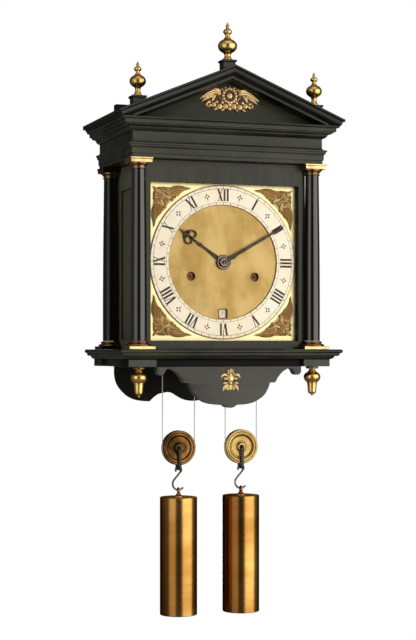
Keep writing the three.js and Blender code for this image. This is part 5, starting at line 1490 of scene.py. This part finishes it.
# Lines
# Twisted gut, one line for each train. It leaves the barrel on its left side, passes through the seatboard
# and the shelf, under the pulley, and comes back up to a knot on the seatboard.
LINE_Y, WRAP, PULLEY_Z = -85, 23.6, -137.5
KNOT_SHAPE = outline([(0, 39.4), (1.5, 39.6), (2.6, 40.8), (2.5, 42.2), (1.8, 43), (2.2, 43.8), (1.4, 44.6),
                      (0, 44.6)])
KNOT_Z = 43


def twisted(path, radius, lay, level, sides=14):
    """A three-strand line on a path in a plane facing -Y. The radius dips where strands meet: it shrinks with
    the cosine of three times the angle, which runs on by one turn for each lay of length."""
    across = mitre(path, False)
    run = np.append(0, np.cumsum(np.linalg.norm(np.diff(path, axis=0), axis=1)))[:, None]
    turn = np.linspace(0, 2 * np.pi, sides, endpoint=False)[None, :]
    reach = radius * (1 - 0.12 * (1 + np.cos(3 * turn + 2 * np.pi * run / lay)))
    flat = path[:, None, :] + across[:, None, :] * (reach * np.cos(turn))[..., None]
    return grid(np.stack([flat[..., 0], level + reach * np.sin(turn), flat[..., 1]], -1),
                ends=True)


for train, line_x in TRAINS.items():
    down = np.stack([np.full(300, line_x - WRAP), np.linspace(ARBOR_Z, PULLEY_Z + 0.5, 300)], -1)
    under = arc((line_x, PULLEY_Z), WRAP, 180, 360, 90)
    up = np.stack([np.full(240, line_x + WRAP), np.linspace(PULLEY_Z + 0.5, KNOT_Z, 240)], -1)
    gut = twisted(np.vstack([down, under, up]), 0.72, 5.4, LINE_Y)
    knot = turned(KNOT_SHAPE, (line_x + WRAP, LINE_Y, 0), 20)
    line = piece(train + "_gut", None, gut_colour, gut, knot, stands_for=[train + "_line"], slot="gut",
                 crease=60)
    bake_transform(line)


# Pulleys
# Turned brass, with a hollowed web and two fine rings scribed near the rim. Each turns on a steel axle in a
# stirrup of two straps, whose heads are rounded, and the hook hangs on the bar across the stirrup's lower
# end.
def pulley(dish):
    """Half a section from the hub's front out over the web, rings and rim to the groove, with its mirror
    image."""
    near = outline([(2.8, -4.5), (5, -4.5)], [(5, -4.5), (5.8, -4), (6.6, -3), (7.6, -2.6)],
                   [(7.6, -2.6), (8.1, -2.8), (8.6, -2.5 + 0.2 * dish)],
                   [(8.6, -2.5 + 0.2 * dish), (14.6, -2.5 - 0.8 * dish)],
                   [(14.6, -2.5 - 0.8 * dish), (15.6, -3.3), (16.9, -3.9)],
                   [(16.9, -3.9), (17.5, -2.9), (18.1, -3.95)], [(18.1, -3.95), (20.3, -4)],
                   [(20.3, -4), (20.9, -3), (21.5, -3.95)], [(21.5, -3.95), (23.4, -3.9)],
                   [(23.4, -3.9), (24.1, -3.6), (24.3, -3), (24, -2.4)],
                   [(24, -2.4), (22.9, -1.4), (22.4, 0)])
    return np.vstack([near, near[::-1][1:] * [1, -1], near[:1]])


pulley_dark = brass("pulley_dark", shade(132, 96, 54), shade(46, 30, 14), 0.18, depth=0.000005)
pulley_pale = brass("pulley_pale", shade(176, 152, 96), shade(142, 116, 66), 0.26, depth=0.000005)
PULLEY_LOOKS = {"strike": (pulley_dark, 1.0), "going": (pulley_pale, 0.25)}
BAR_Z = -166.8
STRAP_EDGE = outline([(0, 2.6), (1.9, 1.8), (2.7, -0.2), (2.5, -3)],
                     [(2.5, -3), (2.1, -14), (2.3, -26), (3, -31)], [(3, -31), (0, -31.2)])
AXLE_SECTION = outline([(0, -9.2), (1.4, -9), (2.3, -8.3), (2.5, -7.5), (2.2, -6.8)],
                       [(2.2, -6.8), (2.2, 6.8)], [(2.2, 6.8), (2.5, 7.5), (2.3, 8.3), (1.4, 9), (0, 9.2)])
BAR_SECTION = outline([(0, -8.6), (1.6, -8.4), (2.4, -7.6), (2.3, -6.6)], [(2.3, -6.6), (1.5, -6.4)],
                      [(1.5, -6.4), (1.5, 6.4)], [(1.5, 6.4), (2.3, 6.6)],
                      [(2.3, 6.6), (2.4, 7.6), (1.6, 8.4), (0, 8.6)])
for train, line_x in TRAINS.items():
    finish, dish = PULLEY_LOOKS[train]
    pulley_at = (line_x, LINE_Y, PULLEY_Z)
    piece(train + "_wheel", train + "_sheave", finish, turned(pulley(dish), pulley_at, 96, "y"),
          stands_for=[train + "_pulley"], slot="weight_brass", crease=24)
    straps = [board(mirrored(STRAP_EDGE) + [line_x, PULLEY_Z], LINE_Y + near, LINE_Y + far, 0.35)
              for near, far in ((-7.2, -6), (6, 7.2))]
    piece(train + "_straps", train + "_block", dark_steel, *straps, turned(AXLE_SECTION, pulley_at, 32, "y"),
          turned(BAR_SECTION, (line_x, LINE_Y, BAR_Z), 24, "y"), stands_for=[train + "_stirrup"],
          slot="steel")


# Hooks and weights
# An S bent from steel wire hangs in the stirrup and carries the weight by the ring on its stem. The weights
# are brass tubes filled with lead, with painted shade on their left sides, a flat lid, a turned
# copper-coloured collar and fine lines from the lathe.
def hook_path():
    """Two opposite arcs joined by their common inner tangent: the upper one small, the lower one wide and
    open."""
    top_z, top_r, low_z, low_r = -168, 4.3, -187.7, 8.6
    lean = math.degrees(math.asin((top_r + low_r) / (top_z - low_z)))
    return np.vstack([arc((0, top_z), top_r, 215, -lean, 30), arc((0, low_z), low_r, 180 - lean, 322, 30)])


def lathe(s):
    """Fine level lines that the lathe leaves round a weight."""
    return noise(s, 1600, (60, 60, 1), 2.0)


WEIGHT_HALF, WEIGHT_TOP = 26, -206


def weight_colour(s):
    """Brass in clouds drawn out round the weight, with tarnish, and darkened to brown on the left side of
    both weights as painted shade."""
    tone = s.mix(noise(s, 24, (3, 3, 1)).between(0.3, 0.7), shade(190, 152, 84), shade(156, 112, 54))
    tarnish = noise(s, 60, (6, 6, 1), 5.0).between(0.5, 0.8)
    x = s.place("X")
    left_side_shade = (x > 0) * (1 - x.between(26 * MM, 50 * MM)) + (1 - x.between(-72 * MM, -50 * MM)) * 0.7
    return s.mix(left_side_shade * 0.85, s.mix(tarnish * 0.4, tone, shade(126, 82, 40)), shade(104, 54, 22))


def weight_gloss(s):
    """Smooth round the side and dull on the lid."""
    return 0.2 + lathe(s) * 0.08 + (s.place("Z") > (WEIGHT_TOP - 0.3) * MM) * 0.4


weight_brass = principled("weight_brass", weight_colour, weight_gloss, 1.0, lathe, 0.00001,
                          Specular_Tint=(0.1, 0.03, 0.004, 1))
WEIGHT_SIDE = outline(
    [(0, -370), (25.3, -370)], [(25.3, -370), (25.9, -369.6), (WEIGHT_HALF, -369)],
    [(WEIGHT_HALF, -369), (WEIGHT_HALF, -207)],
    [(WEIGHT_HALF, -207), (25.8, -206.3), (25.2, WEIGHT_TOP)], [(25.2, WEIGHT_TOP), (6, WEIGHT_TOP)],
)
COLLAR = outline([(6.8, WEIGHT_TOP), (6.4, -205), (5.6, -204.2)],
                 [(5.6, -204.2), (4.4, -203.6), (3.6, -202.8)], [(3.6, -202.8), (2.8, -201.6), (3.1, -200.9)],
                 [(3.1, -200.9), (0, -200.9)])
collar_copper = brass("collar_copper", shade(214, 150, 96), shade(176, 104, 58), 0.2)
EYE_Z, EYE_RADIUS, EYE_WIRE = -197.6, 3.8, 1.3
eye_turn = np.linspace(0, 2 * np.pi, 13)
eye_section = EYE_WIRE * np.stack([np.cos(eye_turn), np.sin(eye_turn)], -1)
eye_points, eye_faces = carried(arc((0, 0), EYE_RADIUS, 0, 360, 40)[:-1], eye_section, "yz", ends=False)
for train, line_x in TRAINS.items():
    piece(train + "_s_hook", train + "_load", bright_steel, rod(hook_path() + [line_x, 0], 1.35, LINE_Y),
          stands_for=[train + "_hook"], slot="steel")
    piece(train + "_cylinder", train + "_load", weight_brass, turned(WEIGHT_SIDE, (line_x, LINE_Y, 0), 128),
          stands_for=[train + "_weight"], slot="weight_brass")
    piece(train + "_eye", train + "_load", collar_copper, turned(COLLAR, (line_x, LINE_Y, 0), 48),
          (eye_points + [line_x, LINE_Y, EYE_Z], eye_faces), slot="weight_brass")
